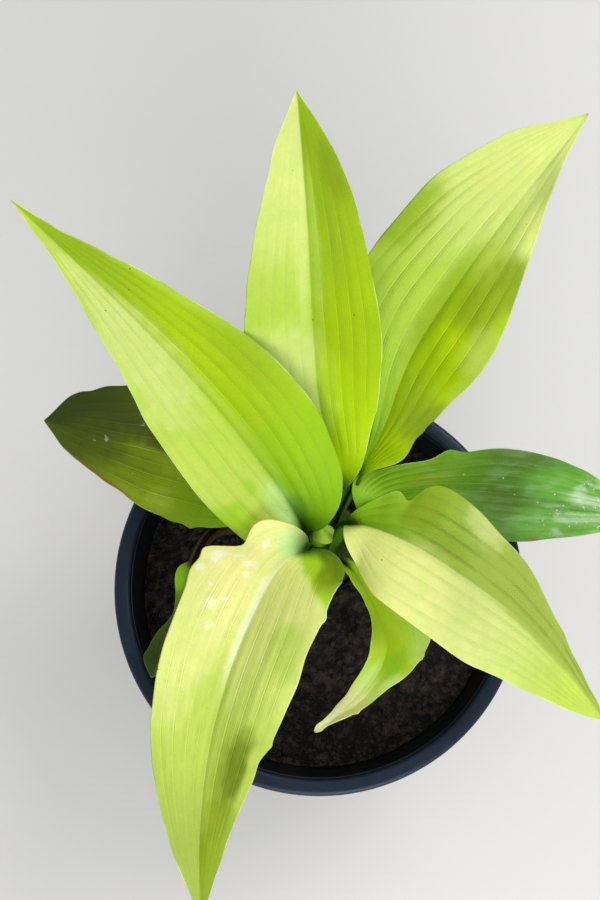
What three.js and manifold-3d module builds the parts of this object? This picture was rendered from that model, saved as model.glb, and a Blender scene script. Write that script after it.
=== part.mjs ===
// Potted hosta: nine yellow-green leaves and a rolled young one grow from a crown in a black nursery pot.
// Millimetres, +Z up. The origin is the middle of the pot's underside, and +Y points away from the viewer.
import * as THREE from "three";
import { mergeVertices } from "three/addons/utils/BufferGeometryUtils.js";
import Module from "manifold-3d";

const wasm = await Module();
wasm.setup();

// Pot: a thin moulded wall that widens upwards to a lip turned down into a skirt.
const POT_HEIGHT = 135;
const RIM_RADIUS = 85;
const BASE_RADIUS = 63;
const WALL = 1.6;
const LIP_WIDTH = 7;
const LIP_ROUND = 2.2;
const SKIRT_HEIGHT = 17;
const FLOOR = 2.2;
const FOOT_ROUND = 3;
const POT_SIDES = 48;
const DRAIN_HOLES = 8;
const DRAIN_RADIUS = 5;
const DRAIN_RING = 48;
const HOLE_SIDES = 12;

// Potting soil: fills the pot to a rough surface below the rim.
const GAP = 0.3;
const SOIL_TOP = 115;
const SOIL_RINGS = 9;
const SOIL_ROUGHNESS = 1.4;
const SOIL_MOUND = { height: 2.5, reach: 40 };
const SOIL_WAVE = { height: 0.8, x: 9, y: 11 };
const SOIL_EDGE_DROP = 2;

// Crown: the short rootstock, off the pot's middle, with fleshy roots below and a socket for each stalk.
const CROWN = { x: 0, y: 20, radius: 21, bottom: 100, top: 118, sides: 24 };
const CROWN_FOOT = { radius: 11.5, height: 7 };
const CROWN_SHOULDER = { radius: 17, drop: 1, side: 5 };
const CROWN_CREST_RADIUS = 9.5;
const SOCKET_RADIUS = 4.2;
const SOCKET_SIDES = 16;
const SOCKET_FLOOR = 109;
const INNER_RING = 8.5;
const OUTER_RING = 15.5;
const ROOTS = { count: 6, turn: 0.35, depth: 62, thick: 3.4, thin: 1.4, point: 4, sides: 6, steps: 5 };
const ROOT_START = { out: 8, up: 5 };
const ROOT_SPREAD = 34;
const ROOT_GAP = 0.5;

// Leaf: a folded stalk that opens into a blade with a keel below its midrib and ridges between its veins.
const STALK_END = 109.5;
const STALK_HALF = 3.1;
const STALK_FOLD = 58;
const STALK_EDGE = 84;
const STALK_THICK = 1.3;
const BLADE_THICK = 0.9;
const KEEL_BASE = 0.9;
const KEEL_TIP = 0.3;
const KEEL_REACH = 2;
const OPENING = 0.12;
const WAVE_START = 0.15;
const WAVE_END = 0.2;
const RIDGES = 3;
const RIDGE_HEIGHT = 0.8;
const RIDGE_FULL_HALF = 20;
const STALK_ROWS = 4;
const BASE_CROWDING = 1.25;
const HALF_STATIONS = [0, 0.08, 0.25, 0.45, 0.65, 0.85, 1];

// Young leaf: still rolled, in the middle of the crown.
const SPEAR = { height: 54, radius: 2.3, swell: 0.35, step: 0.24, twist: 1.2, lean: -1, sides: 14, rows: 8 };

// The leaves. socket is the stalk's angle round the crown, in degrees from +X, on the inner or outer ring.
// stalk and rib are points that the midrib passes, and neck is where the blade begins. half holds the
// half-widths of the left and right side, seen from base to tip, at HALF_STATIONS between neck and tip.
// lobes are a side's swells, or its notches if negative: the side, the place, its reach and its depth.
// fold and edge are the side's slope at the midrib and at the margin, in degrees, at base and tip.
// wave holds a margin wave's height, number of waves and phase for each side.
const LEAVES = {
  leaf_upper_left: {
    socket: 172,
    ring: INNER_RING,
    stalk: [[-8, 22, 140]],
    rib: [[-7, 22, 160], [-34, 56, 192], [-71, 93, 219], [-111, 130, 233]],
    half: [[22, 26.5, 23.5, 14, 5], [24, 32, 28, 18, 6]],
    fold: [[20, 10], [52, 18]],
    edge: [[-14, 0], [10, 5]],
    wave: [[1.5, 2, 0.1], [2.5, 2.5, 0.3]],
  },
  leaf_top: {
    socket: 102,
    ring: INNER_RING,
    stalk: [[4, 31, 135]],
    rib: [[8, 39, 158], [0, 64, 184], [-3, 88, 206], [-5, 119, 229], [-9, 165, 247]],
    half: [[16, 25, 26, 21, 11.5], [12, 23.5, 27, 21.8, 12.5]],
    fold: [[12, 22], [42, 22]],
    edge: [[5, 10], [20, 10]],
    wave: [[1, 1.5, 0], [1.5, 2, 0.4]],
  },
  leaf_upper_right: {
    socket: 34,
    ring: INNER_RING,
    stalk: [[9, 31, 130]],
    rib: [[15, 42, 150], [24, 57, 166], [35, 84, 187], [53, 110, 206], [98, 166, 226]],
    half: [[6, 24, 34.5, 32, 19.5], [4, 20, 27.5, 18.5, 6]],
    fold: [[20, 12], [35, 14]],
    edge: [[0, -5], [5, 5]],
    wave: [[2, 2, 0.6], [3, 2.5, 0.2]],
  },
  leaf_low_left: {
    socket: 145,
    ring: OUTER_RING,
    stalk: [[-18, 35, 132]],
    rib: [[-25, 37, 141], [-43, 46, 150], [-65, 52, 155], [-86, 57, 157], [-113, 66, 152]],
    half: [[19, 26, 24.5, 17, 9], [20, 28, 29, 24.5, 17.5]],
    fold: [[16, 12], [16, 12]],
    edge: [[-8, 0], [0, 4]],
    wave: [[1.5, 2, 0.2], [1.5, 2, 0.5]],
  },
  leaf_right: {
    socket: 12,
    ring: OUTER_RING,
    stalk: [[17, 27, 127]],
    rib: [[19, 31, 139], [29, 35, 152], [44, 36, 161], [64, 35, 164], [88, 33, 161], [145, 27, 140]],
    half: [[10, 12, 18, 14, 6], [8, 14, 20, 15, 7]],
    lobes: [[0, 0.3, 0.03, 2.5]],
    fold: [[28, 14], [28, 14]],
    edge: [[5, 0], [5, 0]],
    wave: [[1.5, 2, 0], [1.5, 2, 0.5]],
  },
  leaf_lower_right: {
    socket: 322,
    ring: INNER_RING,
    stalk: [[8, 19, 140]],
    rib: [[13, 22, 164], [31, 14, 182], [52, 0, 189], [78, -19, 182], [111, -55, 160]],
    half: [[9, 26, 19.5, 9, 4.5], [14, 26, 27, 22, 11]],
    lobes: [[0, 0.178, 0.02, -6]],
    fold: [[40, 14], [34, 10]],
    edge: [[0, 0], [-6, 0]],
    wave: [[3, 2, 0.1], [1.5, 2, 0.6]],
  },
  leaf_front: {
    socket: 245,
    ring: INNER_RING,
    stalk: [[-5, 12, 142]],
    rib: [[-6, 11, 166], [-16, 3, 181], [-26, -16, 187], [-39, -51, 174], [-47, -97, 147], [-48, -134, 124]],
    half: [[25.5, 29, 25, 16.8, 8], [16.5, 27, 25, 18.7, 8]],
    lobes: [[1, 0.108, 0.02, -3], [1, 0.145, 0.018, 7.5]],
    fold: [[50, 14], [25, 10]],
    edge: [[20, 0], [-2, 0]],
    wave: [[2, 2, 0], [1.5, 2, 0.5]],
  },
  leaf_small_front: {
    socket: 300,
    ring: OUTER_RING,
    stalk: [[9, 6, 126]],
    rib: [[11, 8, 140], [21, -7, 148], [27, -26, 148], [19, -43, 139], [-2, -60, 127]],
    half: [[4, 11, 13, 5.5, 2], [3, 3, 7, 6.5, 3.5]],
    lobes: [[0, 0.41, 0.04, 5]],
    fold: [[30, 12], [30, 12]],
    edge: [[10, 0], [10, 0]],
    wave: [[1.5, 1.5, 0], [1, 1.5, 0.5]],
  },
  leaf_small_left: {
    socket: 180,
    ring: OUTER_RING,
    stalk: [[-17, 20, 124], [-29, 23, 130], [-43, 21, 140]],
    rib: [[-51, 7, 147], [-54, -8, 150], [-62, -24, 146], [-68, -38, 141]],
    half: [[5, 9, 10, 9, 6], [6.5, 5, 2.7, 5, 6]],
    fold: [[24, 12], [24, 12]],
    edge: [[0, 0], [0, 0]],
    wave: [[0.5, 1, 0], [0.5, 1, 0.5]],
  },
};
const LARGE = { rows: 20, columns: 12 };
const SMALL = { rows: 12, columns: 8 };
const SMALL_LEAVES = ["leaf_small_front", "leaf_small_left"];

const COLOURS = {
  pot: 0x16181b,
  soil: 0x241c16,
  crown: 0x7d6a45,
  young_leaf: 0x8fae3a,
  leaf: 0xb9cc4f,
  leaf_low_left: 0x4f6420,
  leaf_right: 0x4c7f2c,
};

const { abs, atan2, cos, exp, hypot, max, min, sin, PI } = Math;
const radians = THREE.MathUtils.degToRad;
const mix = THREE.MathUtils.lerp;
const smooth = (x) => THREE.MathUtils.smoothstep(x, 0, 1);

// A repeatable draw between 0 and 1.
function seeded(seed) {
  let state = seed;
  return () => {
    state = (state * 1664525 + 1013904223) % 4294967296;
    return state / 4294967296;
  };
}

// A closed geometry from a list of corners and a list of corner triples.
function geometry(corners, faces) {
  const made = new THREE.BufferGeometry();
  made.setAttribute("position", new THREE.Float32BufferAttribute(corners.flat(), 3));
  made.setIndex(faces.flat());
  return made;
}

// The solid inside a closed geometry, and the geometry of a solid.
function solid(shape) {
  const bare = shape.clone();
  bare.deleteAttribute("normal");
  bare.deleteAttribute("uv");
  const merged = mergeVertices(bare, 1e-4);
  return new wasm.Manifold(
    new wasm.Mesh({
      numProp: 3,
      vertProperties: merged.attributes.position.array,
      triVerts: new Uint32Array(merged.index.array),
    }),
  );
}

function shapeOf(body) {
  const mesh = body.getMesh();
  const made = new THREE.BufferGeometry();
  made.setAttribute("position", new THREE.BufferAttribute(mesh.vertProperties, 3));
  made.setIndex(new THREE.BufferAttribute(mesh.triVerts, 1));
  return made;
}

// A profile of [radius, height] points, spun round Z.
function spun(profile, sides) {
  const points = profile.map(([radius, height]) => new THREE.Vector2(radius, height));
  return new THREE.LatheGeometry(points, sides).rotateX(PI / 2);
}

// A post with its axis along Z.
function post(radius, bottom, top, sides, x, y) {
  const shape = new THREE.CylinderGeometry(radius, radius, top - bottom, sides);
  return shape.rotateX(PI / 2).translate(x, y, (top + bottom) / 2);
}

// Loops of the same number of corners, joined in turn and closed by a corner at each end.
function lofted(loops, first, last) {
  const count = loops[0].length;
  const corners = [first, ...loops.flat(), last];
  const end = corners.length - 1;
  const faces = [];
  for (let i = 0; i < count; i++) {
    const next = (i + 1) % count;
    faces.push([0, 1 + next, 1 + i]);
    faces.push([end, end - count + i, end - count + next]);
    for (let row = 0; row + 1 < loops.length; row++) {
      const a = 1 + row * count + i;
      const b = 1 + row * count + next;
      faces.push([a, b, b + count], [a, b + count, a + count]);
    }
  }
  return geometry(corners, faces);
}

// The pot's wall: radius of its outer face at a height.
const wallRadius = (z) => mix(BASE_RADIUS, RIM_RADIUS - LIP_WIDTH + WALL, z / POT_HEIGHT);

function pot() {
  const inner = RIM_RADIUS - LIP_WIDTH;
  const lipBottom = POT_HEIGHT - WALL;
  const skirt = POT_HEIGHT - SKIRT_HEIGHT;
  const rounded = LIP_ROUND * (1 - Math.SQRT1_2);
  const profile = [
    [0, 0],
    [BASE_RADIUS - FOOT_ROUND, 0],
    [wallRadius(FOOT_ROUND), FOOT_ROUND],
    [wallRadius(lipBottom), lipBottom],
    [RIM_RADIUS - WALL, lipBottom],
    [RIM_RADIUS - WALL, skirt],
    [RIM_RADIUS, skirt],
    [RIM_RADIUS, POT_HEIGHT - LIP_ROUND],
    [RIM_RADIUS - rounded, POT_HEIGHT - rounded],
    [RIM_RADIUS - LIP_ROUND, POT_HEIGHT],
    [inner + LIP_ROUND, POT_HEIGHT],
    [inner + rounded, POT_HEIGHT - rounded],
    [wallRadius(POT_HEIGHT - LIP_ROUND) - WALL, POT_HEIGHT - LIP_ROUND],
    [wallRadius(FLOOR + FOOT_ROUND) - WALL, FLOOR + FOOT_ROUND],
    [wallRadius(FLOOR) - WALL - FOOT_ROUND, FLOOR],
    [0, FLOOR],
  ];
  let body = solid(spun(profile, POT_SIDES));
  for (let i = 0; i < DRAIN_HOLES; i++) {
    const turn = (2 * PI * (i + 0.5)) / DRAIN_HOLES;
    const [x, y] = [DRAIN_RING * cos(turn), DRAIN_RING * sin(turn)];
    body = body.subtract(solid(post(DRAIN_RADIUS, -1, FLOOR + 1, HOLE_SIDES, x, y)));
  }
  return shapeOf(body);
}

// The crown's dome, or the hole for it when it is grown by a gap.
function crownBody(gap) {
  const { radius, bottom, top } = CROWN;
  const profile = [
    [0, bottom - gap],
    [CROWN_FOOT.radius + gap, bottom - gap],
    [radius + gap, bottom + CROWN_FOOT.height],
    [radius + gap, top - CROWN_SHOULDER.side],
    [CROWN_SHOULDER.radius + gap, top - CROWN_SHOULDER.drop + gap],
    [CROWN_CREST_RADIUS, top + gap],
    [0, top + gap],
  ];
  return spun(profile, CROWN.sides).translate(CROWN.x, CROWN.y, 0);
}

// One fleshy root, or the channel for it: a tapered tube that leaves the crown sideways and then sinks.
function root(index, gap) {
  const { count, depth, thick, thin, point, sides, steps } = ROOTS;
  const turn = (2 * PI * (index + ROOTS.turn)) / count;
  const path = (s) => {
    const out = ROOT_START.out + ROOT_SPREAD * s * (1 - s / 3);
    const down = (depth * s * (1 + s)) / 2;
    return [CROWN.x + out * cos(turn), CROWN.y + out * sin(turn), CROWN.bottom + ROOT_START.up - down];
  };
  const loops = [];
  for (let row = 0; row <= steps; row++) {
    const s = row / steps;
    const radius = mix(thick, thin, s) + gap;
    const [x, y, z] = path(s);
    const loop = [];
    for (let i = 0; i < sides; i++) {
      const angle = (-2 * PI * i) / sides;
      loop.push([x + radius * cos(angle), y + radius * sin(angle), z]);
    }
    loops.push(loop);
  }
  const [x0, y0, z0] = path(0);
  const [x1, y1, z1] = path(1);
  return lofted(loops, [x0, y0, z0], [x1, y1, z1 - point - gap]);
}

function socketPlace(leaf) {
  const turn = radians(leaf.socket);
  return [CROWN.x + leaf.ring * cos(turn), CROWN.y + leaf.ring * sin(turn)];
}

function crown() {
  let body = solid(crownBody(0));
  for (let i = 0; i < ROOTS.count; i++) body = body.add(solid(root(i, 0)));
  const places = [[CROWN.x, CROWN.y], ...Object.values(LEAVES).map(socketPlace)];
  for (const [x, y] of places) {
    body = body.subtract(solid(post(SOCKET_RADIUS, SOCKET_FLOOR, CROWN.top + 5, SOCKET_SIDES, x, y)));
  }
  return shapeOf(body);
}

// The soil: rings of corners with a rough top, a smooth wall GAP inside the pot, and the crown's hole.
function soil() {
  const draw = seeded(7);
  const floor = FLOOR + GAP;
  const shoulder = floor + FOOT_ROUND;
  const rough = () => SOIL_ROUGHNESS * (2 * draw() - 1);
  const top = (x, y) => {
    const away = hypot(x - CROWN.x, y - CROWN.y) / SOIL_MOUND.reach;
    const wave = SOIL_WAVE.height * sin(x / SOIL_WAVE.x) * cos(y / SOIL_WAVE.y);
    return SOIL_TOP + SOIL_MOUND.height * exp(-1 * away ** 2) + wave;
  };
  const ringAt = (radius, height) => {
    const loop = [];
    for (let i = 0; i < POT_SIDES; i++) {
      const turn = (-2 * PI * i) / POT_SIDES;
      const x = radius * sin(turn);
      const y = radius * cos(turn);
      loop.push([x, y, height(x, y)]);
    }
    return loop;
  };
  const wall = (z) => wallRadius(z) - WALL - GAP;
  const edge = SOIL_TOP - SOIL_EDGE_DROP;
  const loops = [ringAt(wall(floor) - FOOT_ROUND, () => floor), ringAt(wall(shoulder), () => shoulder)];
  loops.push(ringAt(wall(edge), () => edge));
  for (let ring = SOIL_RINGS - 1; ring > 0; ring--) {
    loops.push(ringAt((wall(edge) * ring) / SOIL_RINGS, (x, y) => top(x, y) + rough()));
  }
  const { x, y, radius, sides } = CROWN;
  const above = post(radius + GAP, CROWN.top - CROWN_SHOULDER.side - 1, CROWN.top + 10, sides, x, y);
  let body = solid(lofted(loops, [0, 0, floor], [0, 0, top(0, 0)]));
  body = body.subtract(solid(crownBody(GAP))).subtract(solid(above));
  for (let i = 0; i < ROOTS.count; i++) body = body.subtract(solid(root(i, ROOT_GAP)));
  return shapeOf(body);
}

// A smooth curve through values at rising stations that never overshoots them.
function through(stations, values, t) {
  const slope = (i) => (values[i + 1] - values[i]) / (stations[i + 1] - stations[i]);
  const last = stations.length - 1;
  const tangent = (i) => {
    if (i === 0) return slope(0);
    if (i === last) return slope(last - 1);
    const before = slope(i - 1);
    const after = slope(i);
    return before * after > 0 ? (2 * before * after) / (before + after) : 0;
  };
  let i = 0;
  while (i < last - 1 && t > stations[i + 1]) i++;
  const step = stations[i + 1] - stations[i];
  const s = (t - stations[i]) / step;
  const rise = values[i] * (1 + 2 * s) * (1 - s) ** 2 + values[i + 1] * s * s * (3 - 2 * s);
  return rise + step * (tangent(i) * s * (1 - s) ** 2 - tangent(i + 1) * s * s * (1 - s));
}

// A side's half-width at a share of the blade's length.
function halfWidth(leaf, hand, t) {
  let half = through(HALF_STATIONS, [STALK_HALF, ...leaf.half[hand], 0], t);
  for (const [side, at, reach, depth] of leaf.lobes ?? []) {
    if (side === hand) half += depth * exp(-1 * ((t - at) / reach) ** 2);
  }
  return half;
}

// The midrib's curve from the socket to the tip, and the share of its length where the blade begins.
function midrib(leaf) {
  const [x, y] = socketPlace(leaf);
  const marks = [[x, y, STALK_END], [x, y, CROWN.top], ...leaf.stalk, ...leaf.rib];
  const points = marks.map((mark) => new THREE.Vector3(...mark));
  const curve = new THREE.CatmullRomCurve3(points, false, "chordal");
  const lengths = curve.getLengths(20 * (points.length - 1));
  const neck = lengths[20 * (points.length - leaf.rib.length)] / lengths.at(-1);
  return { curve, neck };
}

// The frame of the midrib at a share of its length: tangent, side to the right and upward normal.
function frame({ curve, neck }, u) {
  const tangent = curve.getTangentAt(u);
  const ahead = curve.getTangentAt(max(u, neck));
  const heading = atan2(ahead.y, ahead.x);
  const side = new THREE.Vector3(sin(heading), -cos(heading), 0);
  side.addScaledVector(tangent, -side.dot(tangent)).normalize();
  return { point: curve.getPointAt(u), side, normal: side.clone().cross(tangent) };
}

// A corner of the leaf's upper face: u runs from socket to tip, v from -1 at the left margin to 1.
// Each side leaves the midrib at the slope of its fold and bends in an arc to the slope of its edge.
function corner(leaf, rib, place, u, v) {
  const t = max(0, (u - rib.neck) / (1 - rib.neck));
  const hand = v < 0 ? 0 : 1;
  const across = abs(v);
  const open = smooth(t / OPENING);
  const half = halfWidth(leaf, hand, t);
  const fold = radians(mix(STALK_FOLD, mix(...leaf.fold[hand], t), open));
  const edge = radians(mix(STALK_EDGE, mix(...leaf.edge[hand], t), open));
  const bend = ((edge - fold) * across) / 2;
  const chord = half * across * (abs(bend) < 1e-6 ? 1 : sin(bend) / bend);
  const [height, count, phase] = leaf.wave[hand];
  const tapered = smooth(t / WAVE_START) * smooth((1 - t) / WAVE_END);
  const wave = height * across ** 2 * sin(2 * PI * (count * t + phase)) * tapered;
  const crest = 0.5 - 0.5 * cos(2 * PI * RIDGES * across);
  const ridge = RIDGE_HEIGHT * crest * tapered * min(1, half / RIDGE_FULL_HALF);
  const sideways = (v < 0 ? -1 : 1) * chord * cos(fold + bend);
  const upwards = chord * sin(fold + bend) + wave + ridge;
  return place.point.clone().addScaledVector(place.side, sideways).addScaledVector(place.normal, upwards);
}

// Thickness below the upper face, with the keel under the midrib.
function thickness(leaf, rib, u, v) {
  const t = max(0, (u - rib.neck) / (1 - rib.neck));
  const half = halfWidth(leaf, v < 0 ? 0 : 1, t);
  const keel = mix(KEEL_BASE, KEEL_TIP, t) * exp(-1 * ((half * v) / KEEL_REACH) ** 2);
  return mix(STALK_THICK, BLADE_THICK, smooth(t / OPENING)) + keel;
}

// A leaf as one closed solid: rows of corners on its upper face, and the same rows a thickness below.
// The rows lie closer together towards the base, where the outline has its lobes.
function leafShape(leaf, { rows, columns }) {
  const rib = midrib(leaf);
  const shares = [];
  for (let i = 0; i < STALK_ROWS; i++) shares.push((rib.neck * i) / STALK_ROWS);
  for (let i = 0; i < rows; i++) shares.push(mix(rib.neck, 1, (i / rows) ** BASE_CROWDING));
  const reach = 1e-3;
  const upper = [];
  const lower = [];
  for (const u of shares) {
    const place = frame(rib, u);
    const back = frame(rib, max(0, u - reach));
    const front = frame(rib, min(1, u + reach));
    const topRow = [];
    const bottomRow = [];
    for (let j = 0; j <= columns; j++) {
      const v = (2 * j) / columns - 1;
      const here = corner(leaf, rib, place, u, v);
      const along = corner(leaf, rib, front, min(1, u + reach), v);
      along.sub(corner(leaf, rib, back, max(0, u - reach), v));
      const left = corner(leaf, rib, place, u, max(-1, v - 1 / columns));
      const across = corner(leaf, rib, place, u, min(1, v + 1 / columns)).sub(left);
      const down = along.cross(across).normalize();
      topRow.push(here.toArray());
      bottomRow.push(here.clone().addScaledVector(down, thickness(leaf, rib, u, v)).toArray());
    }
    upper.push(topRow);
    lower.push(bottomRow);
  }
  const loops = upper.map((row, i) => [...row, ...lower[i].reverse()]);
  return closedLeaf(loops, frame(rib, 1).point.toArray());
}

// Rows of upper and lower corners as one closed skin, cut square at the stalk's end and pointed at the tip.
// The same diagonal splits each patch on both faces.
function closedLeaf(loops, tip) {
  const count = loops[0].length;
  const wide = count / 2;
  const corners = [...loops.flat(), tip];
  const end = corners.length - 1;
  const at = (row, i) => row * count + ((i + count) % count);
  const faces = [];
  for (let j = 0; j + 1 < wide; j++) {
    const [a, b, c, d] = [at(0, j), at(0, j + 1), at(0, count - 2 - j), at(0, count - 1 - j)];
    faces.push([a, c, b], [a, d, c]);
  }
  for (let row = 0; row + 1 < loops.length; row++) {
    for (let i = 0; i < count; i++) {
      const [a, b, c, d] = [at(row, i), at(row, i + 1), at(row + 1, i + 1), at(row + 1, i)];
      if (i < wide) faces.push([a, c, d], [a, b, c]);
      else faces.push([a, b, d], [b, c, d]);
    }
  }
  for (let i = 0; i < count; i++) {
    faces.push([at(loops.length - 1, i), at(loops.length - 1, i + 1), end]);
  }
  return geometry(corners, faces);
}

// The rolled young leaf: a spear whose section is one turn of a spiral, with the step of the overlap.
function youngLeaf() {
  const { height, radius, step, twist, lean, sides, rows } = SPEAR;
  const loops = [];
  for (let row = 0; row < rows; row++) {
    const s = row / rows;
    const swell = 1 + SPEAR.swell * sin(PI * s);
    const taper = radius * swell * (1 - s ** 3);
    const loop = [];
    for (let i = 0; i < sides; i++) {
      const turn = (2 * PI * i) / sides + twist * s;
      const reach = taper * (1 + (step * i) / sides);
      const x = CROWN.x + lean * s * s + reach * cos(turn);
      loop.push([x, CROWN.y + reach * sin(turn), STALK_END + height * s]);
    }
    loops.push(loop);
  }
  return lofted(loops, [CROWN.x, CROWN.y, STALK_END], [CROWN.x + lean, CROWN.y, STALK_END + height]);
}

const plant = new THREE.Group();

function add(name, shape, colour, roughness) {
  const material = new THREE.MeshStandardMaterial({ color: colour, roughness, metalness: 0 });
  const mesh = new THREE.Mesh(shape, material);
  mesh.name = name;
  plant.add(mesh);
}

add("pot", pot(), COLOURS.pot, 0.45);
add("soil", soil(), COLOURS.soil, 0.95);
add("crown", crown(), COLOURS.crown, 0.7);
add("young_leaf", youngLeaf(), COLOURS.young_leaf, 0.5);
for (const [name, leaf] of Object.entries(LEAVES)) {
  const size = SMALL_LEAVES.includes(name) ? SMALL : LARGE;
  add(name, leafShape(leaf, size), COLOURS[name] ?? COLOURS.leaf, 0.5);
}

export default plant;
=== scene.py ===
# %% [markdown]
# # A potted hosta
# The real plant is a young hosta in a black nursery pot. Nine broad leaves on folded stalks grow from one
# crown, with a tenth still rolled between them. A leaf could be sculpted by hand or cut from a flat outline
# and bent. Here every surface is worked out with numpy from a few measured values, so its form can be read
# and changed. Lengths are in millimetres, and the function that makes a mesh turns them to metres.

# %% Load the frame
import math
from functools import partial
import bpy
import numpy as np
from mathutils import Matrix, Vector


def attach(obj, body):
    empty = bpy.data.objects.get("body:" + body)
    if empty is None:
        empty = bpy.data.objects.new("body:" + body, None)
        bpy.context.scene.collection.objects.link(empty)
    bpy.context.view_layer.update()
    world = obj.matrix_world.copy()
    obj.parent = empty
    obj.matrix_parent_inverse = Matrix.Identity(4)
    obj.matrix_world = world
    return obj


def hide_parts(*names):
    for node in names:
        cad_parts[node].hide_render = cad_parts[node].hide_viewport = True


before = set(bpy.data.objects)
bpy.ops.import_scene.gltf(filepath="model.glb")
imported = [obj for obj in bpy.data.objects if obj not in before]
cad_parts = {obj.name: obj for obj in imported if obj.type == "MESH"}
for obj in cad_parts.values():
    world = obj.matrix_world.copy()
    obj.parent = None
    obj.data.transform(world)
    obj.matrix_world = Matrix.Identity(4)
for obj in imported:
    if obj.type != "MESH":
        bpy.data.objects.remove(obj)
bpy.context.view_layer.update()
scene = bpy.context.scene
MM = 0.001
print("nodes:", sorted(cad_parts))

# %% [markdown]
# ## The camera
# The plant is looked at from almost straight above, from about half a metre over the rim. The lens could be
# set by eye, but a circle fitted to the rim gives the distance and the tilt, so they are used as they are.

# %% Camera
lens = bpy.data.cameras.new("camera")
lens.lens = 50
lens.sensor_width = 36
lens.clip_start = 0.01
camera = bpy.data.objects.new("camera", lens)
camera.location = (-0.0078, -0.0349, 0.6547)
camera.rotation_euler = (math.radians(10), 0, 0)
scene.collection.objects.link(camera)
scene.camera = camera
scene.view_settings.view_transform = "Standard"
print("camera height", round(camera.location.z, 3), "m")

# %% [markdown]
# ## Tools for shapes
# A surface is a grid of corners, so two helpers are enough: one that turns corners and faces into a mesh,
# and one that numbers the faces of a grid. foreach_set copies whole arrays at once, which is far quicker
# than a loop.


# %% Mesh from arrays
def make_mesh(name, corners, quads, triangles=(), fields=None):
    """An object whose mesh has these corners, in mm. fields are numbers or colours, one per corner."""
    mesh = bpy.data.meshes.new(name)
    quads = np.reshape(quads, (-1, 4)).astype(np.int32)
    triangles = np.reshape(triangles, (-1, 3)).astype(np.int32)
    around = np.r_[quads.ravel(), triangles.ravel()]
    starts = np.r_[np.arange(len(quads)) * 4, len(quads) * 4 + np.arange(len(triangles)) * 3]
    mesh.vertices.add(len(corners))
    mesh.vertices.foreach_set("co", (np.asarray(corners, np.float32) * MM).ravel())
    mesh.loops.add(len(around))
    mesh.loops.foreach_set("vertex_index", around)
    mesh.polygons.add(len(starts))
    mesh.polygons.foreach_set("loop_start", starts)
    for field, values in (fields or {}).items():
        kind, part = ("FLOAT", "value") if np.ndim(values) == 1 else ("FLOAT_COLOR", "color")
        layer = mesh.attributes.new(field, kind, "POINT")
        layer.data.foreach_set(part, np.asarray(values, np.float32).ravel())
    mesh.update(calc_edges=True)
    mesh.validate()
    mesh.shade_smooth()
    piece = bpy.data.objects.new(name, mesh)
    scene.collection.objects.link(piece)
    return piece


def grid_faces(rows, columns, first=0, closed=False):
    """Faces of a grid of corners numbered row by row. A closed grid joins its last column to its first."""
    i, j = np.meshgrid(np.arange(rows - 1), np.arange(columns - (not closed)), indexing="ij")
    k = (j + 1) % columns
    faces = np.stack([i * columns + j, i * columns + k, (i + 1) * columns + k, (i + 1) * columns + j], -1)
    return faces.reshape(-1, 4) + first


# %% Ramps and noise
def smooth(x):
    """0 below 0, 1 above 1, and 3x^2 - 2x^3 between them."""
    x = np.clip(x, 0, 1)
    return x * x * (3 - 2 * x)


def mix(a, b, share):
    """From a at a share of 0 to b at 1."""
    return a + (b - a) * share


def noise(x, y, size, seed):
    """Soft noise between -1 and 1: seeded draws on a square lattice of this size, eased between their
    corners."""
    draws = np.random.default_rng(seed).uniform(-1, 1, (64, 64))
    gx, gy = np.asarray(x) / size, np.asarray(y) / size
    i, j = np.floor(gx).astype(int), np.floor(gy).astype(int)
    sx, sy = smooth(gx - i), smooth(gy - j)
    near = mix(draws[i % 64, j % 64], draws[(i + 1) % 64, j % 64], sx)
    far = mix(draws[i % 64, (j + 1) % 64], draws[(i + 1) % 64, (j + 1) % 64], sx)
    return mix(near, far, sy)


def pebbles(x, y, size, seed):
    """Crumb shapes: each lattice cell has a peak of 0.3 to 1 at a drawn point, and the height falls with the
    squared distance to it."""
    jitter = np.random.default_rng(seed).uniform(0.1, 0.9, (64, 64, 2))
    tall = np.random.default_rng(seed + 1).uniform(0.3, 1, (64, 64))
    gx, gy = np.asarray(x) / size, np.asarray(y) / size
    i, j = np.floor(gx).astype(int), np.floor(gy).astype(int)
    best = np.zeros_like(gx)
    for di in (-1, 0, 1):
        for dj in (-1, 0, 1):
            a, b = (i + di) % 64, (j + dj) % 64
            far = (i + di + jitter[a, b, 0] - gx) ** 2 + (j + dj + jitter[a, b, 1] - gy) ** 2
            best = np.maximum(best, tall[a, b] * (1 - 1.6 * far))
    return best


# %% [markdown]
# ## Tools for finishes
# Colours are given as sRGB hex values, as a colour picker shows them, and one function turns them to the
# linear values that light works with. A second small function adds a node with its settings and links, so
# that each line of a finish says one step.


# %% Colour and node helpers
def linear(code):
    """An sRGB hex colour as linear red, green, blue and a solid alpha."""
    srgb = np.array([int(code[i : i + 2], 16) for i in (1, 3, 5)]) / 255
    light = np.where(srgb <= 0.04045, srgb / 12.92, ((srgb + 0.055) / 1.055) ** 2.4)
    return np.r_[light, 1]


def node(tree, kind, links=(), **settings):
    """Adds a node. kind is its type, with its operation after a dot. links are its inputs in order, or by
    name or number: a value, a hex colour, or the output that feeds it. A node there stands for its first
    output in use."""
    kind, _, operation = kind.partition(".")
    made = tree.nodes.new("ShaderNode" + kind)
    if operation:
        made.operation = operation
    for setting, value in settings.items():
        setattr(made, setting, value)
    for socket, source in links.items() if isinstance(links, dict) else enumerate(links):
        if isinstance(source, bpy.types.Node):
            source = next(output for output in source.outputs if output.enabled)
        if isinstance(source, bpy.types.NodeSocket):
            tree.links.new(source, made.inputs[socket])
        else:
            made.inputs[socket].default_value = tuple(linear(source)) if isinstance(source, str) else source
    return made


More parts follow.
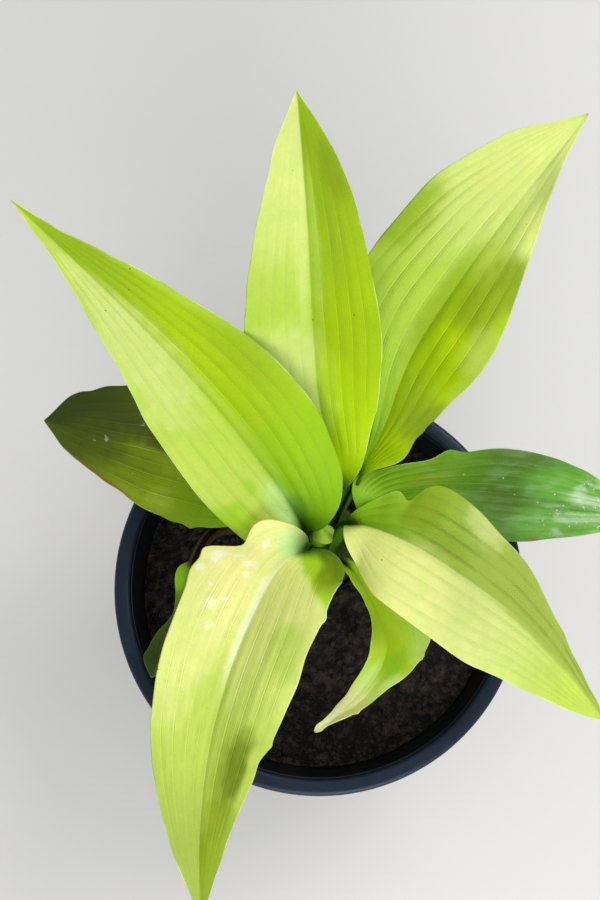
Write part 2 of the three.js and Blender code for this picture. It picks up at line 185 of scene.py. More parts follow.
def new_finish(name):
    """An empty material, and the function above bound to its tree."""
    material = bpy.data.materials.new(name)
    material.use_nodes = True
    material.node_tree.nodes.clear()
    return material, partial(node, material.node_tree)


def hand_over(piece, material, stands_for=None):
    """Gives a finished piece its material and slot, lets it ride on the only body, and hides the solid
    behind it."""
    piece.data.materials.append(material)
    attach(piece, "root")
    if stands_for:
        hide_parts(stands_for)
    print(piece.name, len(piece.data.polygons), "faces")


# %% [markdown]
# ## The leaves' shape
# A hosta leaf is one stalk, folded like a gutter, that opens into a blade. Each half of the blade leaves the
# midrib at a fold angle and bends in an arc to another angle at the margin, and the margin waves. A flat
# outline bent by modifiers would need many steps, so the blade is a function of two parameters: u runs along
# the midrib from the crown to the tip, and v across from the left margin at -1 to the right margin at 1.

# %% Sizes of stalk and blade
# Lengths are in mm and angles in degrees. The stations, OPENING, WAVE_START and WAVE_END are shares of the
# blade's length, and VEINS are counted on one half.
CROWN = (0, 20)
CROWN_TOP = 118
STALK_END = 109.5
INNER_RING, OUTER_RING = 8.5, 15.5
STALK_HALF = 3.1
STALK_FOLD, STALK_EDGE = 58, 84
STALK_THICK, BLADE_THICK = 1.3, 0.75
KEEL_BASE, KEEL_TIP, KEEL_REACH = 0.9, 0.3, 2
OPENING = 0.12
WAVE_START, WAVE_END = 0.15, 0.2
HALF_STATIONS = [0, 0.08, 0.25, 0.45, 0.65, 0.85, 1]
VEINS = 5
VEIN_FULL_HALF = 22
RIPPLE = 0.35

# %% Points and widths of each leaf
# socket: angle in degrees and ring in the crown. stalk, rib: points of the midrib in mm. half: half-widths
# at the five inner stations. lobes: side, place, reach and depth in mm of a bump in the margin. fold, edge:
# angles at base and tip. wave: height in mm, number of waves and phase. relief: height of the crests in mm.
# half, fold, edge and wave name the left half first, and side is 0 on the left and 1 on the right.
LEAVES = {
    "leaf_upper_left": dict(relief=0.3, socket=(172, INNER_RING), stalk=[(-8, 22, 140)],
        rib=[(-7, 22, 160), (-34, 56, 192), (-71, 93, 219), (-111, 130, 233)],
        half=([22, 26.5, 23.5, 14, 5], [24, 32, 28, 18, 6]), lobes=[(1, 0.055, 0.035, -2.8)],
        fold=((20, 10), (52, 18)), edge=((-14, 0), (10, 5)), wave=((1.5, 2, 0.1), (2.5, 2.5, 0.3))),
    "leaf_top": dict(relief=0.12, socket=(102, INNER_RING), stalk=[(4, 31, 135)],
        rib=[(8, 39, 158), (0, 64, 184), (-3, 88, 206), (-5, 119, 229), (-9, 165, 247)],
        half=([16, 25, 26, 21, 11.5], [12, 23.5, 27, 21.8, 12.5]), fold=((12, 22), (42, 22)),
        edge=((5, 10), (20, 10)), wave=((1, 1.5, 0), (1.5, 2, 0.4))),
    "leaf_upper_right": dict(relief=0.26, socket=(34, INNER_RING), stalk=[(9, 31, 130)],
        rib=[(15, 42, 150), (24, 57, 166), (35, 84, 187), (53, 110, 206), (98, 166, 226)],
        half=([6, 24, 34.5, 32, 19.5], [4, 20, 27.5, 18.5, 6]),
        lobes=[(1, 0.12, 0.05, 6.5), (1, 0.19, 0.012, 0.7)], fold=((20, 12), (35, 14)),
        edge=((0, -5), (5, 5)), wave=((2, 2, 0.6), (3, 2.5, 0.2))),
    "leaf_low_left": dict(relief=0.18, socket=(145, OUTER_RING), stalk=[(-18, 35, 132)],
        rib=[(-25, 37, 141), (-43, 46, 150), (-65, 52, 155), (-86, 57, 157), (-113, 66, 152)],
        half=([19, 26, 24.5, 17, 9], [20, 28, 29, 24.5, 17.5]),
        lobes=[(1, 0.93, 0.04, 1.8), (1, 0.83, 0.04, -1.2)], fold=((16, 12), (16, 12)),
        edge=((-8, 0), (0, 4)), wave=((1.5, 2, 0.2), (1.5, 2, 0.5))),
    "leaf_right": dict(relief=0.3, socket=(12, OUTER_RING), stalk=[(17, 27, 127)],
        rib=[(19, 31, 139), (29, 35, 152), (44, 36, 161), (64, 35, 164), (88, 33, 161), (145, 27, 140)],
        half=([10, 12, 18, 14, 6], [8, 14, 20, 15, 7]), lobes=[(0, 0.3, 0.03, 2.5), (0, 0.07, 0.035, 3.5)],
        fold=((28, 14), (28, 14)), edge=((5, 0), (5, 0)), wave=((1.5, 2, 0), (1.5, 2, 0.5))),
    "leaf_lower_right": dict(relief=0.25, socket=(322, INNER_RING), stalk=[(8, 19, 140)],
        rib=[(13, 22, 164), (31, 14, 182), (52, 0, 189), (78, -19, 182), (111, -55, 160)],
        half=([9, 26, 19.5, 9, 4.5], [14, 26, 27, 22, 11]), lobes=[(0, 0.178, 0.02, -6)],
        fold=((40, 14), (34, 10)), edge=((0, 0), (-6, 0)), wave=((3, 2, 0.1), (1.5, 2, 0.6))),
    "leaf_front": dict(relief=0.45, socket=(245, INNER_RING), stalk=[(-5, 12, 142)],
        rib=[(-6, 11, 166), (-16, 3, 181), (-26, -16, 187), (-39, -51, 174),
             (-47, -97, 147), (-48, -134, 124)],
        half=([25.5, 29, 25, 16.8, 8], [16.5, 27, 25, 18.7, 8]),
        lobes=[(1, 0.088, 0.016, 1.8), (1, 0.12, 0.016, -3.6), (1, 0.156, 0.015, 3.8), (1, 0.19, 0.035, 3.4),
               (0, 0.19, 0.01, 1.2), (0, 0.25, 0.04, -1.5), (0, 0.47, 0.01, 0.6), (0, 0.52, 0.03, -1)],
        fold=((50, 14), (25, 10)), edge=((20, 0), (-2, 0)), wave=((2, 2, 0), (1.5, 2, 0.5))),
    "leaf_small_front": dict(relief=0.08, socket=(300, OUTER_RING), stalk=[(9, 6, 126)],
        rib=[(11, 8, 140), (21, -7, 148), (27, -26, 148), (19, -43, 139), (-2, -60, 127)],
        half=([4, 11, 13, 5.5, 2], [3, 3, 7, 6.5, 3.5]),
        lobes=[(0, 0.41, 0.04, 5), (0, 0.46, 0.01, 1), (0, 0.77, 0.012, 0.7), (0, 0.97, 0.03, 1),
               (1, 0.97, 0.03, 1)],
        fold=((30, 12), (30, 12)), edge=((10, 0), (10, 0)), wave=((1.5, 1.5, 0), (1, 1.5, 0.5))),
    "leaf_small_left": dict(relief=0.1, socket=(180, OUTER_RING),
        stalk=[(-17, 20, 124), (-29, 23, 130), (-43, 21, 140)],
        rib=[(-51, 7, 147), (-54, -8, 150), (-62, -24, 146), (-68, -38, 141)],
        half=([5, 9, 10, 9, 6], [6.5, 5, 2.7, 5, 6]), fold=((24, 12), (24, 12)), edge=((0, 0), (0, 0)),
        wave=((0.5, 1, 0), (0.5, 1, 0.5))),
}
print(len(LEAVES), "open leaves")


# %% The midrib's path
def smooth_path(points, steps=60):
    """A path through points with its running length. The slope at a point is the mean of the slopes of the
    chords beside it, each weighed by the other's length, and a cubic joins each pair of points."""
    p = np.array(points, float)
    span = np.linalg.norm(np.diff(p, axis=0), axis=1)
    slope = np.diff(p, axis=0) / span[:, None]
    before, after = np.vstack([slope[:1], slope]), np.vstack([slope, slope[-1:]])
    w0, w1 = np.r_[span[:1], span][:, None], np.r_[span, span[-1:]][:, None]
    tangent = (before * w1 + after * w0) / (w0 + w1)
    s = np.linspace(0, 1, steps, endpoint=False)[None, :, None]
    t0, t1 = tangent[:-1, None] * span[:, None, None], tangent[1:, None] * span[:, None, None]
    curve = (2 * s**3 - 3 * s**2 + 1) * p[:-1, None] + (s**3 - 2 * s**2 + s) * t0
    curve = curve + (3 * s**2 - 2 * s**3) * p[1:, None] + (s**3 - s**2) * t1
    path = np.vstack([curve.reshape(-1, 3), p[-1:]])
    length = np.r_[0, np.cumsum(np.linalg.norm(np.diff(path, axis=0), axis=1))]
    return path, length


def midrib(leaf, steps=60):
    """The path from the socket in the crown to the tip, its running length, and the share of it before the
    blade."""
    turn = math.radians(leaf["socket"][0])
    x = CROWN[0] + leaf["socket"][1] * math.cos(turn)
    y = CROWN[1] + leaf["socket"][1] * math.sin(turn)
    points = [(x, y, STALK_END), (x, y, CROWN_TOP), *leaf["stalk"], *leaf["rib"]]
    path, length = smooth_path(points, steps)
    return path, length, length[steps * (len(points) - len(leaf["rib"]))] / length[-1]


def steady(stations, values, t):
    """A cubic through values at rising stations that never overshoots: the slope at a station is the
    harmonic mean of the slopes beside it, or zero where they differ in sign."""
    k, y = np.asarray(stations, float), np.asarray(values, float)
    d = np.diff(y) / np.diff(k)
    alike = d[:-1] * d[1:] > 0
    inner = np.where(alike, 2 * d[:-1] * d[1:] / np.where(alike, d[:-1] + d[1:], 1), 0)
    m = np.r_[d[0], inner, d[-1]]
    i = np.clip(np.searchsorted(k, t, side="right") - 1, 0, len(k) - 2)
    h = k[i + 1] - k[i]
    s = (t - k[i]) / h
    value = y[i] * (1 + 2 * s) * (1 - s) ** 2 + y[i + 1] * s * s * (3 - 2 * s)
    return value + h * (m[i] * s * (1 - s) ** 2 - m[i + 1] * s * s * (1 - s))


# %% The blade as a function of u and v
def blade_values(leaf, neck, u, v):
    """Share t of the blade's length, half-width and vein value on the grid of u and v. Soft noise ripples
    the half-width by up to a third of a millimetre. The vein value is the distance from the midrib over the
    mean of both half-widths, so that veins lie alike on both sides and run out at the margin where a half is
    narrow, and slow noise makes their spacing uneven. The angle of its socket picks a leaf's own part of the
    noise."""
    t = np.clip((u - neck) / (1 - neck), 0, 1) + 0 * v
    halves = [steady(HALF_STATIONS, [STALK_HALF, *leaf["half"][hand], 0], t) for hand in (0, 1)]
    mean = (halves[0] + halves[1]) / 2
    for hand, place, reach, depth in leaf.get("lobes", []):
        halves[hand] = halves[hand] + depth * np.exp(-1 * ((t - place) / reach) ** 2)
    own = leaf["socket"][0]
    rippled = smooth(t / 0.1) * smooth((1 - t) / 0.15)
    half = np.where(v < 0, *halves) + RIPPLE * rippled * noise(t * 17, own + 9.5 * (v > 0), 1, 7)
    vein = v * half / (mean + 0.3)
    vein = vein + 0.05 * noise(vein * 3 + own, t * 1.5, 1, 13) * smooth(np.abs(vein) * 6) * smooth(t / 0.3)
    return t, half, vein


def ramp(pairs, t, v):
    """A value that runs from base to tip, with its own pair of ends on each side of the midrib."""
    return np.where(v < 0, mix(*pairs[0], t), mix(*pairs[1], t))


def upper_face(leaf, u, v):
    """The leaf's upper face. From the midrib a half runs sideways by chord * cos(slope) and up by chord *
    sin(slope): the chord of an arc that starts at the fold angle and ends at the edge angle. A sine wave
    grows with v squared to the margin, slow noise buckles the blade, and between the sunk veins it swells in
    low crests."""
    path, length, neck = midrib(leaf)
    slope = np.gradient(path, length, axis=0)
    at = u[:, 0] * length[-1]
    centre = np.stack([np.interp(at, length, path[:, k]) for k in range(3)], -1)
    tangent = np.stack([np.interp(at, length, slope[:, k]) for k in range(3)], -1)
    tangent /= np.linalg.norm(tangent, axis=1)[:, None]
    along_x, along_y = [np.interp(np.maximum(at, neck * length[-1]), length, slope[:, k]) for k in (0, 1)]
    heading = np.arctan2(along_y, along_x)
    side = np.stack([np.sin(heading), -np.cos(heading), 0 * heading], -1)
    side -= tangent * (side * tangent).sum(1)[:, None]
    side /= np.linalg.norm(side, axis=1)[:, None]
    normal = np.cross(side, tangent)

    t, half, vein = blade_values(leaf, neck, u, v)
    opened = smooth(t / OPENING)
    across = np.abs(v)
    fold = np.radians(mix(STALK_FOLD, ramp(leaf["fold"], t, v), opened))
    edge = np.radians(mix(STALK_EDGE, ramp(leaf["edge"], t, v), opened))
    bend = (edge - fold) * across / 2
    chord = half * across * np.sinc(bend / np.pi)
    taper = smooth(t / WAVE_START) * smooth((1 - t) / WAVE_END)
    waves = [h * across**2 * np.sin(2 * np.pi * (n * t + phase)) for h, n, phase in leaf["wave"]]
    crest = (0.5 - 0.5 * np.cos(2 * np.pi * VEINS * vein)) * smooth((1 - across) * 4)
    uneven = 1 + 0.7 * noise(vein * 4, t * 3 + leaf["socket"][0], 1, 11)
    fading = smooth(t / 0.12) * (1 - 0.8 * smooth((t - 0.5) / 0.45))
    ridge = 0.8 * leaf["relief"] * crest * uneven * fading * np.minimum(1, half / VEIN_FULL_HALF)
    buckle = 0.7 * noise(v * half, t * length[-1] * 0.8, 17, 5) * taper * smooth(across * 3)
    sideways = np.sign(v) * chord * np.cos(fold + bend)
    upwards = chord * np.sin(fold + bend) + np.where(v < 0, *waves) * taper + ridge + buckle
    return centre[:, None] + side[:, None] * sideways[..., None] + normal[:, None] * upwards[..., None]


# %% [markdown]
# ## A leaf as a closed skin
# A real blade is thin, but it has two faces and a rounded edge that catches the light. Solidify could
# thicken the upper face. Here the lower face is worked out too, because a keel runs below the midrib, and
# because the thickness can then fall to nothing in a quarter circle at the margin, which rounds it.


# %% Upper and lower face in one mesh
def sheet(name, top, below, across, fields):
    """A closed skin from two grids of corners that share their first and last column. The skin is cut square
    at the first row and pointed at the last. fields are grids of values, or a list of one for each face."""
    rows, columns = across.shape
    inner = columns - 2
    tip = np.full(columns - 1, rows * (columns + inner))
    faces = grid_faces(rows, columns)
    up = np.arange(rows * columns).reshape(rows, columns)
    low = up.copy()
    low[:, 1:-1] = rows * columns + np.arange(rows * inner).reshape(rows, inner)
    faces_low = low.ravel()[faces[:, [0, 3, 2, 1]]]
    cap = np.stack([up[0, 1:-2], low[0, 1:-2], low[0, 2:-1], up[0, 2:-1]], -1)
    ends = np.array([[up[0, 0], low[0, 1], up[0, 1]], [up[0, -2], low[0, -2], up[0, -1]]])
    fan_up = np.stack([up[-1, :-1], up[-1, 1:], tip], -1)
    fan_low = np.stack([low[-1, 1:], low[-1, :-1], tip], -1)

    def merged(on_top, under):
        """The upper grid, the lower one without its shared columns, and the tip's mean."""
        shape = (-1, *on_top.shape[2:])
        return np.concatenate([on_top.reshape(shape), under[:, 1:-1].reshape(shape), on_top[-1:].mean(1)])

    pairs = {field: grid if isinstance(grid, list) else (grid, grid) for field, grid in fields.items()}
    flat = {field: merged(*pair) for field, pair in pairs.items()}
    triangles = np.vstack([ends, fan_up, fan_low])
    return make_mesh(name, merged(top, below), np.vstack([faces, faces_low, cap]), triangles, flat)


def down(surface):
    """The unit direction straight below a surface at each corner: along crossed with across."""
    along, across = np.gradient(surface, axis=0), np.gradient(surface, axis=1)
    below = np.cross(along, across)
    return below / (np.linalg.norm(below, axis=2)[..., None] + 1e-9)


# %% [markdown]
# ## The leaves' colours
# The yellow-green of this hosta shifts from leaf to leaf. The half that faces the light looks pale and
# lemon, and the half that light shines through looks a deep lime. A picture could carry this, but a few
# named paints do it too: each half runs through three of them from base to tip, and soft spots of other
# paints lie on top. The broad colour is an attribute of the mesh, and the material draws the fine veins over
# it.

# %% Paints
PAINT = {
    "highlight_white": "#ffffe4",
    "ivory": "#fff3b0",
    "butter": "#f9f7a6",
    "cream": "#f0f3b0",
    "lemon": "#e6ec92",
    "straw": "#d8e08c",
    "pear": "#c8d960",
    "spring": "#bdd650",
    "citron": "#cae808",
    "leek": "#bedc32",
    "lime": "#b2ce0c",
    "apple": "#a0bc20",
    "grass": "#98c81e",
    "meadow": "#84bc20",
    "mint": "#d8ffb4",
    "moss": "#a8ba4e",
    "olive": "#94aa1e",
    "bronze": "#7a8e18",
    "dark_olive": "#4c5a0e",
    "deep_olive": "#30400a",
    "fern": "#4c7c14",
    "sea": "#6aa63e",
    "dew_sheen": "#a6c296",
    "mauve": "#4a342e",
    "rust": "#8a5a2a",
}

# %% Which leaf wears which paint
# left and right: paints at base, middle and tip. veining: how strong the veins are on each half. A spot is a
# paint, its place t and v, its reach along t and v, its strength, and for one of them its slant, the v it
# gains per t. A strength above 1 gives a flat middle.
LOOKS = {
    # On leaf_upper_left the spring band just right of the midrib is painted light.
    "leaf_upper_left": dict(left=("pear", "spring", "pear"), right=("grass", "lime", "apple"),
        spots=[("grass", 0.15, -0.9, 0.06, 0.4, 0.9), ("leek", 0.15, -0.9, 0.06, 0.4, 0.5),
               ("grass", 0.19, -0.35, 0.03, 0.12, 0.5), ("straw", 0.62, -0.4, 0.3, 0.75, 0.9),
               ("pear", 0.3, -0.85, 0.12, 0.35, 0.7), ("spring", 0.36, 0.08, 0.3, 0.12, 0.5),
               ("spring", 0.6, 0.98, 0.36, 0.16, 0.5), ("apple", 0.45, 0.8, 0.16, 0.4, 0.6),
               ("mint", 0.08, -0.14, 0.12, 0.3, 0.6), ("sea", 0.06, 0.14, 0.07, 0.25, 0.6)]),
    # On leaf_top the cream spot at the base is painted light where the leaf above shades it.
    "leaf_top": dict(veining=(0.5, 0.7), left=("cream", "spring", "straw"),
        right=("citron", "lime", "apple"),
        spots=[("lemon", 0.75, -0.55, 0.18, 0.7, 0.3), ("lemon", 0.64, -0.12, 0.22, 0.16, 0.5),
               ("cream", 0.3, -0.4, 0.22, 0.9, 0.5), ("citron", 0.3, 0.25, 0.15, 0.4, 0.7),
               ("spring", 0.65, 0.12, 0.25, 0.16, 0.8), ("apple", 0.66, 0.5, 0.14, 0.25, 0.5),
               ("olive", 0.82, 0.72, 0.09, 0.35, 0.7)]),
    "leaf_upper_right": dict(veining=(1.3, 1.2), left=("grass", "spring", "straw"),
        right=("citron", "lime", "straw"),
        spots=[("lemon", 0.8, -0.5, 0.28, 0.8, 0.4), ("apple", 0.61, -0.95, 0.12, 0.4, 0.8),
               ("apple", 0.48, -0.03, 0.22, 0.16, 0.9), ("apple", 0.25, 0.35, 0.12, 0.5, 0.8),
               ("citron", 0.44, 0.45, 0.07, 0.35, 0.6), ("lemon", 0.72, 0.9, 0.09, 0.55, 0.8),
               ("olive", 0.615, 0.9, 0.08, 0.6, 0.95), ("olive", 0.54, 0.5, 0.1, 0.5, 0.7),
               ("pear", 0.46, 0.9, 0.08, 0.4, 0.8), ("olive", 0.22, 0.85, 0.08, 0.5, 0.8),
               ("pear", 0.35, 1.0, 0.08, 0.2, 0.5)]),
    "leaf_low_left": dict(left=("grass", "olive", "dark_olive"),
        right=("dark_olive", "dark_olive", "deep_olive"),
        spots=[("spring", 0.42, -0.75, 0.08, 0.25, 0.35), ("bronze", 0.6, -0.3, 0.2, 0.6, 0.8),
               ("dark_olive", 0.76, -0.15, 0.2, 0.7, 0.8), ("olive", 0.52, 0.02, 0.14, 0.05, 0.5),
               ("rust", 0.68, -1.0, 0.22, 0.1, 0.8), ("mauve", 0.7, 0.3, 0.25, 0.5, 0.1)]),
    # On leaf_right the sea and pale grey-green spots in the middle are painted sheen.
    "leaf_right": dict(left=("grass", "fern", "sea"), right=("meadow", "fern", "sea"),
        spots=[("olive", 0.24, -0.35, 0.08, 0.25, 0.7), ("sea", 0.62, -0.3, 0.14, 0.6, 0.8),
               ("sea", 0.56, 0.6, 0.12, 0.5, 0.8), ("dew_sheen", 0.74, -0.1, 0.13, 0.3, 0.85),
               ("dew_sheen", 0.7, 0.5, 0.1, 0.25, 0.6), ("dark_olive", 0.45, 0.2, 0.12, 0.4, 0.4),
               ("dark_olive", 0.5, -0.85, 0.12, 0.3, 0.4), ("rust", 0.54, 1.0, 0.025, 0.12, 0.7)]),
    "leaf_lower_right": dict(veining=(2.4, 0.8), left=("grass", "moss", "moss"),
        right=("butter", "straw", "pear"),
        spots=[("butter", 0.26, 0.6, 0.18, 0.9, 0.7), ("straw", 0.37, -0.96, 0.08, 0.45, 0.9),
               ("olive", 0.22, -0.6, 0.07, 0.45, 0.7), ("bronze", 0.3, -0.3, 0.1, 0.25, 0.25),
               ("moss", 0.68, 0.02, 0.2, 0.12, 0.7)]),
    # On leaf_front the pale line along the midrib is a painted highlight, the mint spot at the base is
    # painted light in the shade of the leaves beside it, and the leek and bronze spots at the base paint the
    # shaded inner side of the fold.
    "leaf_front": dict(veining=(1.4, 1.3), left=("butter", "pear", "olive"),
        right=("butter", "pear", "moss"),
        spots=[("mint", 0.04, 0.4, 0.07, 0.6, 1.0), ("highlight_white", 0.22, 0.03, 0.22, 0.08, 0.9),
               ("ivory", 0.22, 0.65, 0.22, 0.7, 0.6), ("lemon", 0.36, 0.75, 0.2, 0.5, 0.8),
               ("leek", 0.1, -0.78, 0.12, 0.5, 1.8, -6.1), ("bronze", 0.05, -0.88, 0.12, 0.4, 1.0),
               ("lemon", 0.34, -0.2, 0.14, 0.16, 0.6), ("spring", 0.27, -0.7, 0.07, 0.35, 0.6),
               ("olive", 0.58, -0.5, 0.16, 0.4, 0.7), ("bronze", 0.56, -0.62, 0.13, 0.3, 0.85),
               ("olive", 0.74, -0.5, 0.12, 0.5, 0.7), ("pear", 0.57, -1.0, 0.14, 0.22, 0.9)]),
    # On leaf_small_front the cream and palest spots near the tip are painted light on its downturned rim,
    # which lies in shade.
    "leaf_small_front": dict(veining=(0.15, 0.15), left=("leek", "lime", "butter"),
        right=("leek", "leek", "butter"),
        spots=[("grass", 0.52, -0.42, 0.1, 0.45, 0.8), ("citron", 0.22, 0.1, 0.1, 0.8, 0.6),
               ("cream", 0.78, 0.3, 0.12, 0.7, 0.7), ("highlight_white", 0.9, 0.5, 0.1, 0.9, 0.6),
               ("mint", 0.38, -0.8, 0.12, 0.5, 0.3), ("mint", 0.58, -0.8, 0.08, 0.4, 0.3),
               ("mint", 0.62, 0.3, 0.14, 0.5, 0.35), ("leek", 0.34, -0.4, 0.14, 0.5, 0.9)]),
    "leaf_small_left": dict(left=("fern", "fern", "dark_olive"),
        right=("meadow", "dark_olive", "deep_olive"),
        spots=[("grass", 0.12, 0.8, 0.14, 0.6, 0.9)]),
}
STALK_PAINT = {"leaf_small_left": "mauve"}


# %% Dried drops and painted sheen
# A patch is its place t and v, its radius in mm and its strength.
# The patches on leaf_right are painted sheen.
DROPS_AND_SHEEN = {
    "leaf_front": [(0.158, 0.79, 3.4, 0.6), (0.1, 0.56, 2.2, 0.5), (0.143, 0.42, 2.6, 0.5),
        (0.163, 0.33, 1.8, 0.6), (0.243, 0.61, 2.9, 0.5), (0.19, 0.9, 2.6, 0.5), (0.225, 0.45, 1.9, 0.45),
        (0.14, 0.66, 1.6, 0.6), (0.278, 0.5, 2.6, 0.42), (0.21, 0.68, 1.8, 0.4), (0.19, 0.7, 9, 0.06)],
    "leaf_low_left": [(0.57, 0.36, 2.2, 0.33), (0.7, 0.02, 1.8, 0.33), (0.75, -0.17, 1.6, 0.33),
        (0.45, -0.6, 18, 0.05)],
    "leaf_right": [(0.72, 0.0, 14, 0.22), (0.62, 0.5, 13, 0.18), (0.5, -0.1, 22, 0.07),
        (0.3, -0.3, 14, 0.04)],
}


def residue_and_sheen(leaf_name, t, v, half, blade_length):
    """How strongly dried drops show, and on leaf_right the painted sheen. Each patch is a cone with a flat
    top, at its strength there and 0 at its radius. The material compares it with fine noise, so a strong one
    is a patch and a weak one is specks."""
    field = 0 * t
    for at_t, at_v, radius, strength in DROPS_AND_SHEEN.get(leaf_name, []):
        far = np.hypot((t - at_t) * blade_length, (v - at_v) * half) / radius
        field = np.maximum(field, strength * np.minimum(1, 2.5 * (1 - far)))
    return field


# %% The broad colour of a leaf
def pigment(leaf_name, t, v, half, under):
    """Linear colours on the grid. Each half blends three paints along t; a spot adds its paint in a soft
    ellipse that may be slanted; the stalk and the tip have their own; and the lower face is paler and
    greyer."""
    look = LOOKS[leaf_name]
    paint = {name: linear(code) for name, code in PAINT.items()}

    def run(names):
        """Three paints, the middle one reached at half the blade's length and the last at 85% of it."""
        base, middle, tip = (paint[name] for name in names)
        return mix(mix(base, middle, smooth(t / 0.5)[..., None]), tip, smooth((t - 0.5) / 0.35)[..., None])

    right = smooth(0.5 + v * half / 1.2)[..., None]
    colour = mix(run(look["left"]), run(look["right"]), right)
    for name, at_t, at_v, wide_t, wide_v, strength, *slant in look["spots"]:
        off_v = v - at_v - sum(slant) * (t - at_t)
        away = ((t - at_t) / wide_t) ** 2 + (off_v / wide_v) ** 2
        ragged = away + 0.15 * noise(t * 40, v * 9, 1, 3)
        colour = mix(colour, paint[name], (strength * smooth(1 - ragged)).clip(0, 1)[..., None])
    stalk = paint[STALK_PAINT.get(leaf_name, "fern")]
    colour = mix(stalk, colour, smooth(t / 0.07)[..., None])
    colour = mix(colour, paint["rust"], 0.4 * smooth((t - 0.98) / 0.02)[..., None])
    if under:
        colour = mix(colour, linear("#a9bd7c"), 0.45 * smooth(t / 0.1)[..., None])
    return colour


# %% [markdown]
# ## The leaf's finish
# A hosta blade is waxy and satin. Veins run from base to tip as thin pale lines of painted light with
# painted shade beside them, finer ones lie between them, and light shines through the blade, so that its
# shaded side glows. The veins could be modelled, but they are finer than the mesh, so the material draws
# them from the across value of each corner.


# %% Leaf material
SMOOTH = {"interpolation_type": "SMOOTHSTEP"}


